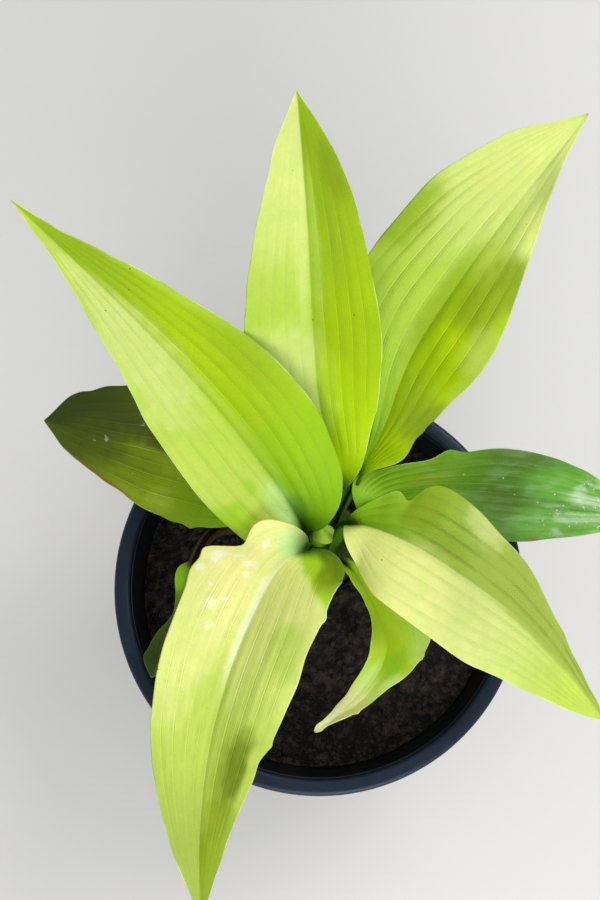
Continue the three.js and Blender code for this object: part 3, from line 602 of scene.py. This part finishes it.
def leaf_finish(name, vein_depth, shine, gloss, glow, rim_light, sheen="#ffffff", wet_sheen=0.0):
    """Hosta leaf, a waxy cuticle over soft tissue: satin, slightly uneven, and translucent. Wax grain of 0.1
    mm is drawn at 1 mm, and the finest veins several times coarser than they are, so that they show. The
    veins carry painted light and painted shade, the pale rim is partly painted light, and a wet leaf has
    pale streaks of painted sheen. shine is taken off the roughness, gloss is the specular level, and glow is
    the share of light that passes through."""
    material, add = new_finish(name)
    place = add("TexCoord").outputs["Object"]
    across, gap, edge, body, drop_and_sheen_strength = [add("Attribute", attribute_name=field).outputs["Fac"]
                                       for field in ("across", "vein_gap", "rim_mm", "blade", "residue_and_sheen")]

    # Patches of 17 mm, mottle of 5, wax of 1, rims of dried drops and of painted sheen of 2, specks 7 apart
    # and beads 1.5 apart.
    cloud, mottle, grain, crisp = [add("TexNoise", {"Vector": place, "Scale": scale, "Detail": detail})
                                   for scale, detail in ((60, 3), (220, 4), (900, 2), (600, 3))]
    cells, drops = [add("TexVoronoi", {"Vector": place, "Scale": scale}) for scale in (150, 650)]

    # Veins as lines of painted light, the painted shade beside each, and threads: lines a side, shift in mm,
    # and where they start and end to fade.
    patchy = add("MapRange", (cloud, 0.38, 0.62), **SMOOTH)
    part = add("Math.MULTIPLY_ADD", (patchy, 0.7, 0.3))
    seen = add("Math.MULTIPLY", (body, part))
    kinds = (VEINS, 0, 0.05, 0.5), (VEINS, -0.9, 0.1, 1.5), (6 * VEINS, 0, 0.05, 0.4)
    lines = []
    for count, shift, inside, outside in kinds:
        turns = add("Math.MULTIPLY", (across, count))
        off = add("Math.WRAP", (turns, 0.5, -0.5))
        wide = add("Math.MULTIPLY", (off, gap))
        beside = add("Math.MULTIPLY_ADD", (wide, VEINS / count, shift))
        away = add("Math.ABSOLUTE", (beside,))
        line = add("MapRange", (away, outside, inside), **SMOOTH)
        lines.append(add("Math.MULTIPLY", (line, seen)))
    veins, painted_vein_shade, threads = lines

    # Each pattern lightens or darkens the leaf's broad colour a little; the veins add painted light, and the
    # shade beside them painted shade.
    shade = 1
    for pattern, gain, base in ((cloud, 0.2, 0.92), (grain, 0.1, 0.95), (veins, 1.3 * vein_depth, 1),
                                (painted_vein_shade, -vein_depth, 1), (threads, -0.12 * vein_depth, 1)):
        factor = add("Math.MULTIPLY_ADD", (pattern, gain, base))
        shade = add("Math.MULTIPLY", (shade, factor))
    broad = add("Attribute", attribute_name="pigment").outputs["Color"]
    tinted = add("VectorMath.SCALE", {0: broad, "Scale": shade})
    greener = add("VectorMath.MULTIPLY", (tinted, (0.94, 0.99, 0.88)))
    mottled = add("MapRange", (mottle, 0.35, 0.65), **SMOOTH)

    # A thin pale rim, the leaf's own margin with painted light that its edge catches, and a brown speck in
    # three cells of ten.
    thin = add("MapRange", (edge, 0.5, 0.1, 0, rim_light), **SMOOTH)
    rim = add("Math.MULTIPLY", (thin, patchy))
    dot = add("MapRange", (cells, 0.06, 0.03, 0, 0.8), **SMOOTH)
    chosen = add("Math.GREATER_THAN", (cells.outputs["Color"], 0.7))
    speck = add("Math.MULTIPLY", (dot, chosen))

    # Dried drops and painted sheen: ragged patches, and beads that are more likely where the field is
    # strong; on the green leaf also streaks of painted sheen. The patches and beads on leaf_right are
    # painted sheen as well.
    strong = add("Math.MULTIPLY", (drop_and_sheen_strength, 1.4))
    ragged = add("Math.MULTIPLY_ADD", (crisp, -0.8, strong))
    patch = add("MapRange", (ragged, 0.03, 0.3, 0, 0.6), **SMOOTH)
    chance = add("Math.MULTIPLY", (drop_and_sheen_strength, 2.2))
    beaded = add("Math.LESS_THAN", (drops.outputs["Color"], chance))
    bead = add("MapRange", (drops, 0.35, 0.08, 0, 0.4), **SMOOTH)
    beads = add("Math.MULTIPLY", (bead, beaded))
    along = add("Mapping", {"Vector": place, "Scale": (0.35, 1.2, 1)})
    sheen_streaks = add("TexNoise", {"Vector": along, "Scale": 260, "Detail": 3})
    sheen_streak = add("MapRange", (sheen_streaks, 0.45, 0.68, 0, wet_sheen), **SMOOTH)
    painted_sheen_film = add("Math.MULTIPLY", (sheen_streak, drop_and_sheen_strength))
    dried_and_sheen = add("Math.MAXIMUM", (patch, painted_sheen_film))
    dried_and_sheen = add("Math.MAXIMUM", (dried_and_sheen, beads))

    # Mixed over the colour: the mottle, the rim with its painted light, dried drops and painted sheen, and
    # specks.
    colour = tinted
    for share, paint in (mottled, greener), (rim, "#f3f7cf"), (dried_and_sheen, "#f8fbf2"), (speck, "#55601c"):
        colour = add("Mix", {0: share, 6: colour, 7: paint}, data_type="RGBA")

    # Veins and threads are sunk and the wax is uneven. The blade is part satin skin and part glow from
    # behind.
    sunk = add("Math.MULTIPLY", (threads, -0.1))
    sunk = add("Math.MULTIPLY_ADD", (veins, -0.35, sunk))
    height = add("Math.MULTIPLY_ADD", (grain, 0.22, sunk))
    bump = add("Bump", {"Strength": 0.7, "Distance": 0.0006, "Height": height})
    rough = add("Math.MULTIPLY_ADD", (cloud, 0.2, 1 - shine))
    skin = add("BsdfPrincipled", {"Base Color": colour, "Roughness": rough, "IOR": 1.42, "Normal": bump,
                                  "Specular IOR Level": gloss, "Specular Tint": sheen})
    through = add("VectorMath.MULTIPLY", (colour, (1, 1, 0.35)))
    lit = add("BsdfTranslucent", {"Color": through, "Normal": bump})
    add("OutputMaterial", {"Surface": add("MixShader", (glow, skin, lit))})
    return material


FINISHES = {
    "leaf": leaf_finish("pale hosta leaf", vein_depth=0.1, shine=0.5, gloss=0.2, glow=0.4, rim_light=0.65),
    "olive_leaf": leaf_finish("olive hosta leaf", vein_depth=0.22, shine=0.55, gloss=0.4, glow=0.2,
                              rim_light=0.12, sheen="#e2e4c0"),
    "green_leaf": leaf_finish("wet green hosta leaf", vein_depth=0.2, shine=0.6, gloss=0.3, glow=0.2,
                              rim_light=0.4, wet_sheen=1),
}
SLOTS = {"leaf_low_left": "olive_leaf", "leaf_small_left": "olive_leaf", "leaf_right": "green_leaf"}
print("leaf finishes", sorted(FINISHES))


# %% Build the leaves
def build_leaf(name, rows, stalk_rows, columns):
    """Both faces of a leaf with the fields its material reads. The lower face lies a thickness and a keel
    below the upper one, and both meet at the margin in a quarter circle. rows lie along the blade."""
    leaf = LEAVES[name]
    path, length, neck = midrib(leaf)
    stalk = np.linspace(0, neck, stalk_rows, endpoint=False)
    u = np.r_[stalk, neck + (1 - neck) * np.linspace(0, 0.997, rows)][:, None]
    v = np.linspace(-1, 1, columns + 1)[None]
    top = upper_face(leaf, u, v)
    t, half, vein = blade_values(leaf, neck, u, v)
    edge_mm = half * (1 - np.abs(v))
    thick = mix(STALK_THICK, BLADE_THICK, smooth(t / OPENING))
    round_off = np.sqrt(1 - (1 - np.clip(edge_mm / (0.5 * thick), 0, 1)) ** 2)
    keel = mix(KEEL_BASE, KEEL_TIP, t) * np.exp(-1 * (half * v / KEEL_REACH) ** 2)
    below = top + down(top) * ((thick + keel) * round_off)[..., None]
    fading = smooth((t - 0.03) / 0.1) * (1 - 0.85 * smooth((t - 0.62) / 0.36))
    blade = fading * smooth((0.97 - np.abs(v)) / 0.25)
    gap = half * np.abs(v) / (np.abs(vein) + 1e-3) / VEINS
    gap[:, columns // 2] = gap[:, columns // 2 - 1]
    fields = {
        "across": vein,
        "vein_gap": gap,
        "rim_mm": edge_mm + 3 * (1 - smooth((t - 0.03) / 0.08)),
        "blade": blade * np.where(v < 0, *LOOKS[name].get("veining", (1, 1))),
        "residue_and_sheen": residue_and_sheen(name, t, v, half, (1 - neck) * length[-1]),
        "pigment": [pigment(name, t, v + 0 * t, half, under) for under in (False, True)],
    }
    piece = sheet(name + "_grown", top, below, v + 0 * t, fields)
    slot = SLOTS.get(name, "leaf")
    hand_over(piece, FINISHES[slot], name)


GRIDS = {"leaf_front": (220, 26, 96), "leaf_small_front": (130, 24, 64), "leaf_small_left": (130, 24, 64)}
for name in LEAVES:
    build_leaf(name, *GRIDS.get(name, (150, 26, 96)))

# %% [markdown]
# ## The young leaf
# Between the stalks stands a leaf that is still rolled like a scroll, with its outer turn just lifting. A
# cone would miss the roll, so the sheet's section is a spiral: the angle grows with v while the radius grows
# too.

# %% Rolled leaf
ROLL_HEIGHT, ROLL_TURNS, ROLL_START, ROLL_TWIST = 54, 1.5, 2.76, 1.2
ROLL_GIRTH, ROLL_WIDEN, ROLL_THICK = 2.2, 1.45, 0.45
FRILL_LIFT, FRILL_WAVES = 4.6, 4.5


def build_young_leaf(rows=90, columns=120):
    """A sheet rolled in a spiral of one and a half turns, widest above its middle and drawn to a point. Its
    outer turn lifts off to the front in a frill, a sine wave round the spiral."""
    s = np.linspace(0, 0.995, rows)[:, None]
    v = np.linspace(-1, 1, columns + 1)[None]
    across = (v + 1) / 2
    girth = ROLL_GIRTH * (1 + 0.35 * np.sin(np.pi * s)) * (1 - s**3)
    outer = smooth((across - 0.66) / 0.14) * smooth((1.04 - across) / 0.14)
    lift = outer * smooth((s - 0.5) / 0.3) * (1 - s**8)
    turn = 2 * np.pi * ROLL_TURNS * across + ROLL_TWIST * s + ROLL_START
    radius = girth * (0.4 + 0.75 * across) + FRILL_LIFT * lift * (1 + 0.22 * np.sin(FRILL_WAVES * turn))
    x = CROWN[0] - s * s + ROLL_WIDEN * radius * np.cos(turn)
    y = CROWN[1] + 2 * s * s + radius * np.sin(turn)
    z = STALK_END + ROLL_HEIGHT * s + 1.1 * lift * np.sin(FRILL_WAVES * turn + 1) - 1.5 * lift
    top = np.stack([x, y, z], -1)
    edge_mm = 14 * (1 - np.abs(v)) * (1 - s**3)
    round_off = np.sqrt(1 - (1 - np.clip(edge_mm / 0.3, 0, 1)) ** 2)
    below = top + down(top) * (ROLL_THICK * round_off)[..., None]
    ones = np.ones_like(x)
    tone = mix(linear(PAINT["meadow"]), linear(PAINT["pear"]), (0.9 * lift**2 * ones)[..., None])
    fields = {"across": v * ones, "vein_gap": ones, "rim_mm": edge_mm, "blade": 0.4 * ones,
              "residue_and_sheen": 0 * ones, "pigment": tone}
    piece = sheet("young_leaf_rolled", top, below, v * ones, fields)
    hand_over(piece, FINISHES["leaf"], "young_leaf")


build_young_leaf()

# %% [markdown]
# ## The pot
# A nursery pot is thin black polypropylene, moulded in one shot: a wall that widens upwards, a lip turned
# down into a skirt, and drain holes in the floor. It is a profile spun round the axis, worked out as one
# grid. The holes are cut with a Boolean, because a grid can't have them.

# %% Pot profile
POT_HEIGHT, RIM_RADIUS, BASE_RADIUS = 135, 85, 63
WALL, LIP_WIDTH, LIP_ROUND, SKIRT_HEIGHT, FLOOR, FOOT_ROUND = 1.6, 7, 2.2, 17, 2.2, 3
POT_SIDES = 192


def wall_radius(z):
    """Radius of the wall's outer face at a height."""
    return mix(BASE_RADIUS, RIM_RADIUS - LIP_WIDTH + WALL, np.asarray(z) / POT_HEIGHT)


def corner_arc(x, y, radius, start, stop, count=7):
    """Points of a circle's arc, in degrees."""
    turn = np.radians(np.linspace(start, stop, count))
    return np.stack([x + radius * np.cos(turn), y + radius * np.sin(turn)], -1)


def pot_profile():
    """Radius and height round the wall's section, from the middle of the underside to the middle of the
    floor."""
    skirt = POT_HEIGHT - SKIRT_HEIGHT
    inner = RIM_RADIUS - LIP_WIDTH
    under_lip = POT_HEIGHT - WALL
    outside = np.linspace(FOOT_ROUND, under_lip, 24)
    inside = np.linspace(POT_HEIGHT - LIP_ROUND, FLOOR + FOOT_ROUND, 24)
    return np.vstack([
        np.stack([np.linspace(6, BASE_RADIUS - FOOT_ROUND - 1, 10), np.zeros(10)], -1),
        corner_arc(BASE_RADIUS - FOOT_ROUND + 0.3, FOOT_ROUND, FOOT_ROUND, 270, 358),
        np.stack([wall_radius(outside), outside], -1)[1:],
        [[RIM_RADIUS - WALL - 0.4, under_lip]],
        [[RIM_RADIUS - WALL, under_lip - 0.5], [RIM_RADIUS - WALL, skirt + 0.4]],
        corner_arc(RIM_RADIUS - WALL / 2, skirt + 0.5, 0.5, 210, 330, 5),
        np.stack([np.full(8, RIM_RADIUS), np.linspace(skirt + 0.9, POT_HEIGHT - LIP_ROUND, 8)], -1),
        corner_arc(RIM_RADIUS - LIP_ROUND, POT_HEIGHT - LIP_ROUND, LIP_ROUND, 12, 90, 8),
        corner_arc(inner + LIP_ROUND, POT_HEIGHT - LIP_ROUND, LIP_ROUND, 96, 178, 8),
        np.stack([wall_radius(inside) - WALL, inside], -1),
        corner_arc(wall_radius(FLOOR) - WALL - FOOT_ROUND, FLOOR + FOOT_ROUND, FOOT_ROUND, -10, -90),
        np.stack([np.linspace(BASE_RADIUS - 8, 6, 10), np.full(10, FLOOR)], -1),
    ])


def capped(rings):
    """Corners, quads and triangles of rings joined in order, with a corner in the middle of each end
    ring."""
    rows, sides = rings.shape[:2]
    i = np.arange(sides)
    k = (i + 1) % sides
    end = (rows - 1) * sides
    first_cap = np.stack([np.full(sides, rows * sides), k, i], -1)
    last_cap = np.stack([np.full(sides, rows * sides + 1), end + i, end + k], -1)
    corners = np.vstack([rings.reshape(-1, 3), rings[[0, -1]].mean(1)])
    return corners, grid_faces(rows, sides, closed=True), np.vstack([first_cap, last_cap])


def spin(name, profile, sides, centre=(0, 0)):
    """A profile of radius and height carried round an upright axis, and closed at both ends."""
    turn = np.linspace(0, 2 * np.pi, sides, endpoint=False)
    radius, height = profile[:, :1], profile[:, 1:]
    rings = [centre[0] + radius * np.cos(turn), centre[1] + radius * np.sin(turn), height + 0 * turn]
    return make_mesh(name, *capped(np.stack(rings, -1)))


pot = spin("pot_moulded", pot_profile(), POT_SIDES)
print("pot", len(pot.data.polygons), "faces")

# %% Drain holes
DRAIN_HOLES, DRAIN_RADIUS, DRAIN_RING = 8, 5, 48
drill_profile = np.array([[DRAIN_RADIUS, -3.0], [DRAIN_RADIUS, 6.0]])
turns = 2 * np.pi * (np.arange(DRAIN_HOLES) + 0.5) / DRAIN_HOLES
drills = [spin(f"drill_{k}", drill_profile, 40, (DRAIN_RING * math.cos(a), DRAIN_RING * math.sin(a)))
          for k, a in enumerate(turns)]
for drill in drills:
    cut = pot.modifiers.new("drain", "BOOLEAN")
    cut.object = drill
    cut.operation = "DIFFERENCE"
    cut.solver = "EXACT"
bored = bpy.data.meshes.new_from_object(pot.evaluated_get(bpy.context.evaluated_depsgraph_get()))
pot.modifiers.clear()
pot.data = bored
bored.set_sharp_from_angle(angle=math.radians(40))
for drill in drills:
    bpy.data.objects.remove(drill)
print("pot with holes", len(bored.polygons), "faces")

# %% [markdown]
# ## Black polypropylene
# The plastic is injection moulded against a finely etched steel face, so it is satin rather than glossy.
# The slate-blue sheen that light from the sky gives its lip is painted into the colour of faces that look
# up, soil dust clings inside, and handling leaves faint scuffs.


# %% Pot finish
def pot_finish():
    """Black moulded polypropylene: satin black with a fine etched grain, scuffs and soil dust, and a painted
    slate-blue reflection of the sky on faces that look up. The etched grain of 0.1 mm is drawn at 0.7 mm, so
    that it shows."""
    material, add = new_finish("moulded black polypropylene")
    place = add("TexCoord").outputs["Object"]
    etch = add("TexNoise", {"Vector": place, "Scale": 1400, "Detail": 2})
    worn = add("TexNoise", {"Vector": place, "Scale": 60, "Detail": 6, "Roughness": 0.7})
    stretch = add("Mapping", {"Vector": place, "Scale": (1, 1, 6)})
    scuffs = add("TexNoise", {"Vector": stretch, "Scale": 140, "Detail": 4})
    facing = add("SeparateXYZ", (add("NewGeometry").outputs["Normal"],))
    painted_sky_reflection = add("MapRange", (facing.outputs["Z"], 0.1, 0.9))
    scuff = add("MapRange", (scuffs, 0.6, 0.75, 0, 0.35))
    dusty = add("MapRange", (worn, 0.5, 0.75, 0, 0.4))
    colour = "#0a0b0d"
    # Faces that look up get a painted slate-blue reflection of the sky.
    for share, paint in (painted_sky_reflection, "#0a1420"), (scuff, "#2a2f36"), (dusty, "#241f1b"):
        colour = add("Mix", {0: share, 6: colour, 7: paint}, data_type="RGBA")
    rough = add("MapRange", (worn, 0.3, 0.7, 0.34, 0.52))
    bump = add("Bump", {"Strength": 0.25, "Distance": 0.0003, "Height": etch})
    skin = add("BsdfPrincipled", {"Base Color": colour, "Roughness": rough, "IOR": 1.49, "Normal": bump,
                                  "Specular Tint": "#b0c3de"})
    add("OutputMaterial", {"Surface": skin})
    return material


pot.data.materials.clear()
hand_over(pot, pot_finish(), "pot")

# %% [markdown]
# ## The soil
# Potting compost is dark peat and bark in crumbs of a half to four millimetres. Thousands of loose grains
# would be heavy, so the surface itself carries lumps in three sizes, and several hundred loose crumbs lie
# on it.

# %% Height of the soil
# Lengths in mm. A size of crumbs is the spacing of its lattice, and a seed.
SOIL_TOP, MOUND_HEIGHT, MOUND_REACH, EDGE_DROP, GAP = 115, 2.5, 40, 2, 0.3
CROWN_RADIUS, CROWN_BOTTOM = 21, 100
LARGE_CRUMB, MIDDLE_CRUMB, SMALL_CRUMB = (5.1, 31), (2.6, 33), (1.4, 35)


def soil_reach(height):
    """Radius of the soil where it meets the wall at a height."""
    return float(wall_radius(height)) - WALL - GAP


SOIL_RADIUS = soil_reach(SOIL_TOP - EDGE_DROP)


def soil_height(x, y):
    """A low mound round the crown, a slow wave, and crumbs in three sizes on rough ground."""
    away = np.hypot(x - CROWN[0], y - CROWN[1])
    mound = MOUND_HEIGHT * np.exp(-1 * (away / MOUND_REACH) ** 2)
    wave = 0.8 * np.sin(x / 9) * np.cos(y / 11)
    rough = 1.1 * noise(x, y, 9, 21) + 0.7 * noise(x, y, 4.3, 22)
    sizes = (1.3, LARGE_CRUMB), (0.8, MIDDLE_CRUMB), (0.4, SMALL_CRUMB)
    crumbs = sum(tall * pebbles(x, y, *crumb) for tall, crumb in sizes)
    rim = smooth((SOIL_RADIUS - np.hypot(x, y)) / 7)
    return SOIL_TOP - 1.4 + mound + wave + (rough + crumbs) * mix(0.5, 1, rim) - EDGE_DROP * (1 - rim) * 0.6


def painted_lit_tops(x, y):
    """1 on the tops of the larger crumbs and 0 between them: painted light on the tops and painted shade
    between.
    """
    return np.maximum(pebbles(x, y, *LARGE_CRUMB), pebbles(x, y, *MIDDLE_CRUMB)).clip(0, 1)


print("soil radius", round(SOIL_RADIUS, 1), "mm")


# %% The soil's skin
def build_soil(cells=276):
    """A square grid pressed into a disc: a corner keeps its larger coordinate as the radius, and the other
    one becomes the angle. A wall and a floor close it below, and it dips to pass under the crown."""
    a, b = np.meshgrid(np.linspace(-1, 1, cells + 1), np.linspace(-1, 1, cells + 1), indexing="xy")
    steep = np.abs(a) >= np.abs(b)
    radius = np.where(steep, a, b)
    share = np.where(steep, b, a) / np.where(radius == 0, 1, radius)
    turn = np.where(steep, share * np.pi / 4, np.pi / 2 - share * np.pi / 4)
    x, y = SOIL_RADIUS * radius * np.cos(turn), SOIL_RADIUS * radius * np.sin(turn)
    away = np.hypot(x - CROWN[0], y - CROWN[1])
    under_crown = mix(CROWN_BOTTOM - 0.5, CROWN_BOTTOM + 6, smooth((away - 11) / 10))
    z = np.where(away < CROWN_RADIUS + 0.4, under_crown, soil_height(x, y))
    top = np.stack([x, y, z], -1).reshape(-1, 3)

    number = np.arange((cells + 1) ** 2).reshape(cells + 1, cells + 1)
    ring = np.r_[number[0, :-1], number[:-1, -1], number[-1, :0:-1], number[:0:-1, 0]]
    turns = np.arctan2(top[ring, 1], top[ring, 0])
    floor = FLOOR + GAP
    levels = [(soil_reach(h), h) for h in (80, 40, floor + FOOT_ROUND)]
    levels.append((soil_reach(floor) - FOOT_ROUND, floor))
    rings = [np.stack([r * np.cos(turns), r * np.sin(turns), np.full(len(ring), h)], -1) for r, h in levels]
    corners = np.vstack([top, *rings, [[0, 0, floor]]])
    columns = len(ring)
    names = np.vstack([ring, len(top) + np.arange(len(levels) * columns).reshape(-1, columns)])
    k = np.roll(np.arange(columns), -1)
    walls = np.stack([names[:-1], names[1:], names[1:, k], names[:-1, k]], -1).reshape(-1, 4)
    base = np.stack([names[-1], np.full(columns, len(corners) - 1), names[-1, k]], -1)
    quads = np.vstack([grid_faces(cells + 1, cells + 1), walls])
    return make_mesh("soil_surface", corners, quads, base, {"tone_and_lit_tops": painted_lit_tops(*corners[:, :2].T)})


# %% Loose crumbs
def build_crumbs(count=900, seed=41, sides=7):
    """Small lumps: a ball of three rings and two poles, stretched and roughened for each place by seeded
    draws, with the square root of a draw as the radius, so that they lie evenly."""
    draw = np.random.default_rng(seed)
    radius = (SOIL_RADIUS - 3) * np.sqrt(draw.uniform(0, 1, count))
    turn = draw.uniform(0, 2 * np.pi, count)
    x, y = radius * np.cos(turn), radius * np.sin(turn)
    keep = np.hypot(x - CROWN[0], y - CROWN[1]) > CROWN_RADIUS + 1.5
    x, y = x[keep], y[keep]
    size = 0.45 + 1.25 * draw.uniform(0, 1, len(x)) ** 3
    i = np.arange(sides)
    k = (i + 1) % sides
    ball = [[[0, 0, -1]]]
    for wide, high, twist in (0.8, -0.55, 0), (1, 0.1, 0.4), (0.65, 0.75, 0.8):
        around = 2 * np.pi * i / sides + twist
        ball.append(np.stack([wide * np.cos(around), wide * np.sin(around), np.full(sides, high)], -1))
    ball = np.vstack([*ball, [[0, 0, 1]]])
    lumps = ball * draw.uniform(0.75, 1.25, (len(x), len(ball), 1)) * size[:, None, None]
    lumps = lumps * draw.uniform(0.7, 1.3, (len(x), 1, 3))
    place = np.stack([x, y, soil_height(x, y) + size * 0.35], -1)
    corners = (lumps + place[:, None]).reshape(-1, 3)
    pole = len(ball) - 1 + 0 * i
    upper_cap = np.stack([pole, pole - sides + i, pole - sides + k], -1)
    caps = np.vstack([np.stack([0 * i, 1 + k, 1 + i], -1), upper_cap])
    step = np.arange(len(x))[:, None, None] * len(ball)
    tone_and_lit_tops = {"tone_and_lit_tops": np.repeat(draw.uniform(0.2, 1, len(x)), len(ball))}
    return make_mesh("soil_crumbs", corners, grid_faces(3, sides, 1, closed=True) + step, caps + step, tone_and_lit_tops)


# %% [markdown]
# ## Dark compost
# Peat is nearly black and bark is brown. The tops of the larger crumbs are painted lighter and the ground
# between them darker, as painted light and shade. The material reads this share at each corner, which on a
# loose crumb is a random tone, and adds patches, pale flakes of bark, and a rough relief.


# %% Compost finish
def compost_finish():
    """Peat and bark: nearly black between the crumbs, as painted shade, brown on their tops, as painted
    light, and quite dull.
    """
    material, add = new_finish("damp peat compost")
    place = add("TexCoord").outputs["Object"]
    tone_and_lit_tops = add("Attribute", attribute_name="tone_and_lit_tops").outputs["Fac"]
    patches = add("TexNoise", {"Vector": place, "Scale": 130, "Detail": 5, "Roughness": 0.65})
    grit = add("TexVoronoi", {"Vector": place, "Scale": 620})
    fine = add("TexNoise", {"Vector": place, "Scale": 1500, "Detail": 3})
    # The tops of the larger crumbs are painted lighter and the ground between them darker, as light and
    # shade fall; the noise patches add a random tone.
    level = add("Math.MULTIPLY_ADD", (tone_and_lit_tops, 0.45, -0.06))
    painted_light_and_tone = add("Math.MULTIPLY_ADD", (patches, 0.75, level))
    tone = add("ValToRGB", {"Fac": painted_light_and_tone})
    stops = tone.color_ramp.elements
    stops.new(0.5)
    for stop, (at, code) in zip(stops, ((0.32, "#030202"), (0.52, "#110d0b"), (0.72, "#382e28"))):
        stop.position = at
        stop.color = tuple(linear(code))
    flake = add("MapRange", (grit.outputs["Color"], 0.8, 1, 0, 0.3))
    flecked = add("Mix", {0: flake, 6: tone, 7: "#6b5848"}, data_type="RGBA")
    height = add("Math.ADD", (grit, fine))
    bump = add("Bump", {"Strength": 1, "Distance": 0.0016, "Height": height})
    skin = add("BsdfPrincipled", {"Base Color": flecked, "Roughness": 0.92, "IOR": 1.4, "Normal": bump})
    add("OutputMaterial", {"Surface": skin})
    return material


compost = compost_finish()
hand_over(build_soil(), compost, "soil")
hand_over(build_crumbs(), compost)

# %% [markdown]
# ## The crown
# The crown is the short rootstock that all stalks grow from, with fleshy roots in the soil. Its top is
# ringed by the scars of old leaves. A dome spun round its axis gives the form, ripples in the radius give
# the scars, and each root is a tapered tube along a curve.

# %% Dome and roots
DOME = [(0.5, 100), (11.5, 100), (CROWN_RADIUS, 107), (CROWN_RADIUS, 113), (17, 117), (9.5, 118), (0.5, 118)]
ROOTS, ROOT_ROWS, ROOT_SIDES = 6, 24, 16


def build_crown(sides=96, rows=70):
    """A dome whose radius ripples with height and angle, and six tubes that leave sideways and then sink."""
    outline = np.array(DOME)
    length = np.r_[0, np.cumsum(np.hypot(*np.diff(outline, axis=0).T))]
    s = np.linspace(0, length[-1], rows)[:, None]
    radius, height = np.interp(s, length, outline[:, 0]), np.interp(s, length, outline[:, 1])
    turn = np.linspace(0, 2 * np.pi, sides, endpoint=False)
    reach = radius * (1 - 0.025 * (1 + np.sin(s * 2.6)) - 0.02 * (1 + np.sin(9 * turn + 0.4 * s)))
    dome = [reach * np.cos(turn), CROWN[1] + reach * np.sin(turn), height + 0 * turn]
    parts = [capped(np.stack(dome, -1))]

    p = np.linspace(0, 1, ROOT_ROWS)[:, None]
    out, low = 8 + 34 * p * (1 - p / 3), 105 - 31 * p * (1 + p)
    wide = mix(3.4, 1.4, p) * (1 + 0.06 * np.sin(40 * p)) * np.sqrt(np.clip((1.001 - p) * 12, 0, 1))
    loop = -1 * np.linspace(0, 2 * np.pi, ROOT_SIDES, endpoint=False)
    for way in 2 * np.pi * (np.arange(ROOTS) + 0.35) / ROOTS:
        x, y = out * np.cos(way) + wide * np.cos(loop), out * np.sin(way) + wide * np.sin(loop)
        parts.append(capped(np.stack([x, CROWN[1] + y, low + 0 * loop], -1)))
    starts = np.cumsum([0, *(len(part[0]) for part in parts)])
    quads, caps = (np.vstack([part[k] + first for part, first in zip(parts, starts)]) for k in (1, 2))
    return make_mesh("crown_rootstock", np.vstack([part[0] for part in parts]), quads, caps)


def crown_finish():
    """Rootstock skin: tan and brown rings, dull and fibrous, with green sheaths on top, darkened as painted
    shade under the leaves.
    """
    material, add = new_finish("fibrous rootstock")
    place = add("TexCoord").outputs["Object"]
    stretch = add("Mapping", {"Vector": place, "Scale": (1, 1, 0.25)})
    fibres = add("TexNoise", {"Vector": stretch, "Scale": 500, "Detail": 4})
    height = add("SeparateXYZ", (place,)).outputs["Z"]
    # The top turns dark green: the sheaths' own green, darkened as painted shade under the leaves.
    sheath_and_shade = add("MapRange", (height, 0.112, 0.117, 0, 0.9))
    tone = add("Mix", {0: fibres, 6: "#2f2617", 7: "#6c6a34"}, data_type="RGBA")
    sheathed = add("Mix", {0: sheath_and_shade, 6: tone, 7: "#2c3f10"}, data_type="RGBA")
    bump = add("Bump", {"Strength": 0.6, "Distance": 0.0008, "Height": fibres})
    skin = add("BsdfPrincipled", {"Base Color": sheathed, "Roughness": 0.75, "IOR": 1.4, "Normal": bump})
    add("OutputMaterial", {"Surface": skin})
    return material


hand_over(build_crown(), crown_finish(), "crown")

# %% [markdown]
# ## Floor and light
# The plant stands alone on a plain pale floor in soft light. A picture of a sky could light it, but three
# plain sources are easier to steer: a broad lamp behind the plant to the right, where the leaves are
# brightest, a weaker one in front that reaches under them, and a pale surround that fills the shadows.

# %% Floor
FLOOR_REACH, FLOOR_SIDES = 6000, 96
i = np.arange(FLOOR_SIDES)
turns = 2 * np.pi * i / FLOOR_SIDES
edge = np.stack([FLOOR_REACH * np.cos(turns), FLOOR_REACH * np.sin(turns), 0 * turns], -1)
fan = np.stack([0 * i, 1 + i, 1 + (i + 1) % FLOOR_SIDES], -1)
floor = make_mesh("floor", np.vstack([[[0, 0, 0]], edge]), [], fan)
paper, add = new_finish("pale studio paper")
add("OutputMaterial", {"Surface": add("BsdfPrincipled", {"Base Color": "#c4c2be", "Roughness": 0.9})})
floor.data.materials.append(paper)

# %% Lamps and surround
def add_lamp(name, location, size, energy):
    """A square area lamp at a place in metres that points at the middle of the plant."""
    light = bpy.data.lights.new(name, "AREA")
    light.size, light.energy = size, energy
    lamp = bpy.data.objects.new(name, light)
    lamp.location = location
    lamp.rotation_euler = (Vector((0, 0, 0.15)) - lamp.location).to_track_quat("-Z", "Y").to_euler()
    scene.collection.objects.link(lamp)
    return lamp


key = add_lamp("key", (0.55, 0.5, 1.0), 0.5, 7.4)
fill = add_lamp("fill", (0.1, -0.8, 0.55), 0.6, 7)
world = bpy.data.worlds.new("surround")
world.use_nodes = True
world.node_tree.nodes["Background"].inputs["Color"].default_value = tuple(linear("#f2f5f8"))
world.node_tree.nodes["Background"].inputs["Strength"].default_value = 0.85
scene.world = world
print("lamps", key.data.energy, "and", fill.data.energy, "W")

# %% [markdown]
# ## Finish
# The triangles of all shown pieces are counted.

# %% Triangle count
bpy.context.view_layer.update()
shown = [piece for piece in bpy.data.objects if piece.type == "MESH" and not piece.hide_render]
triangles = sum(len(piece.data.loop_triangles) for piece in shown)
print("triangles", triangles)
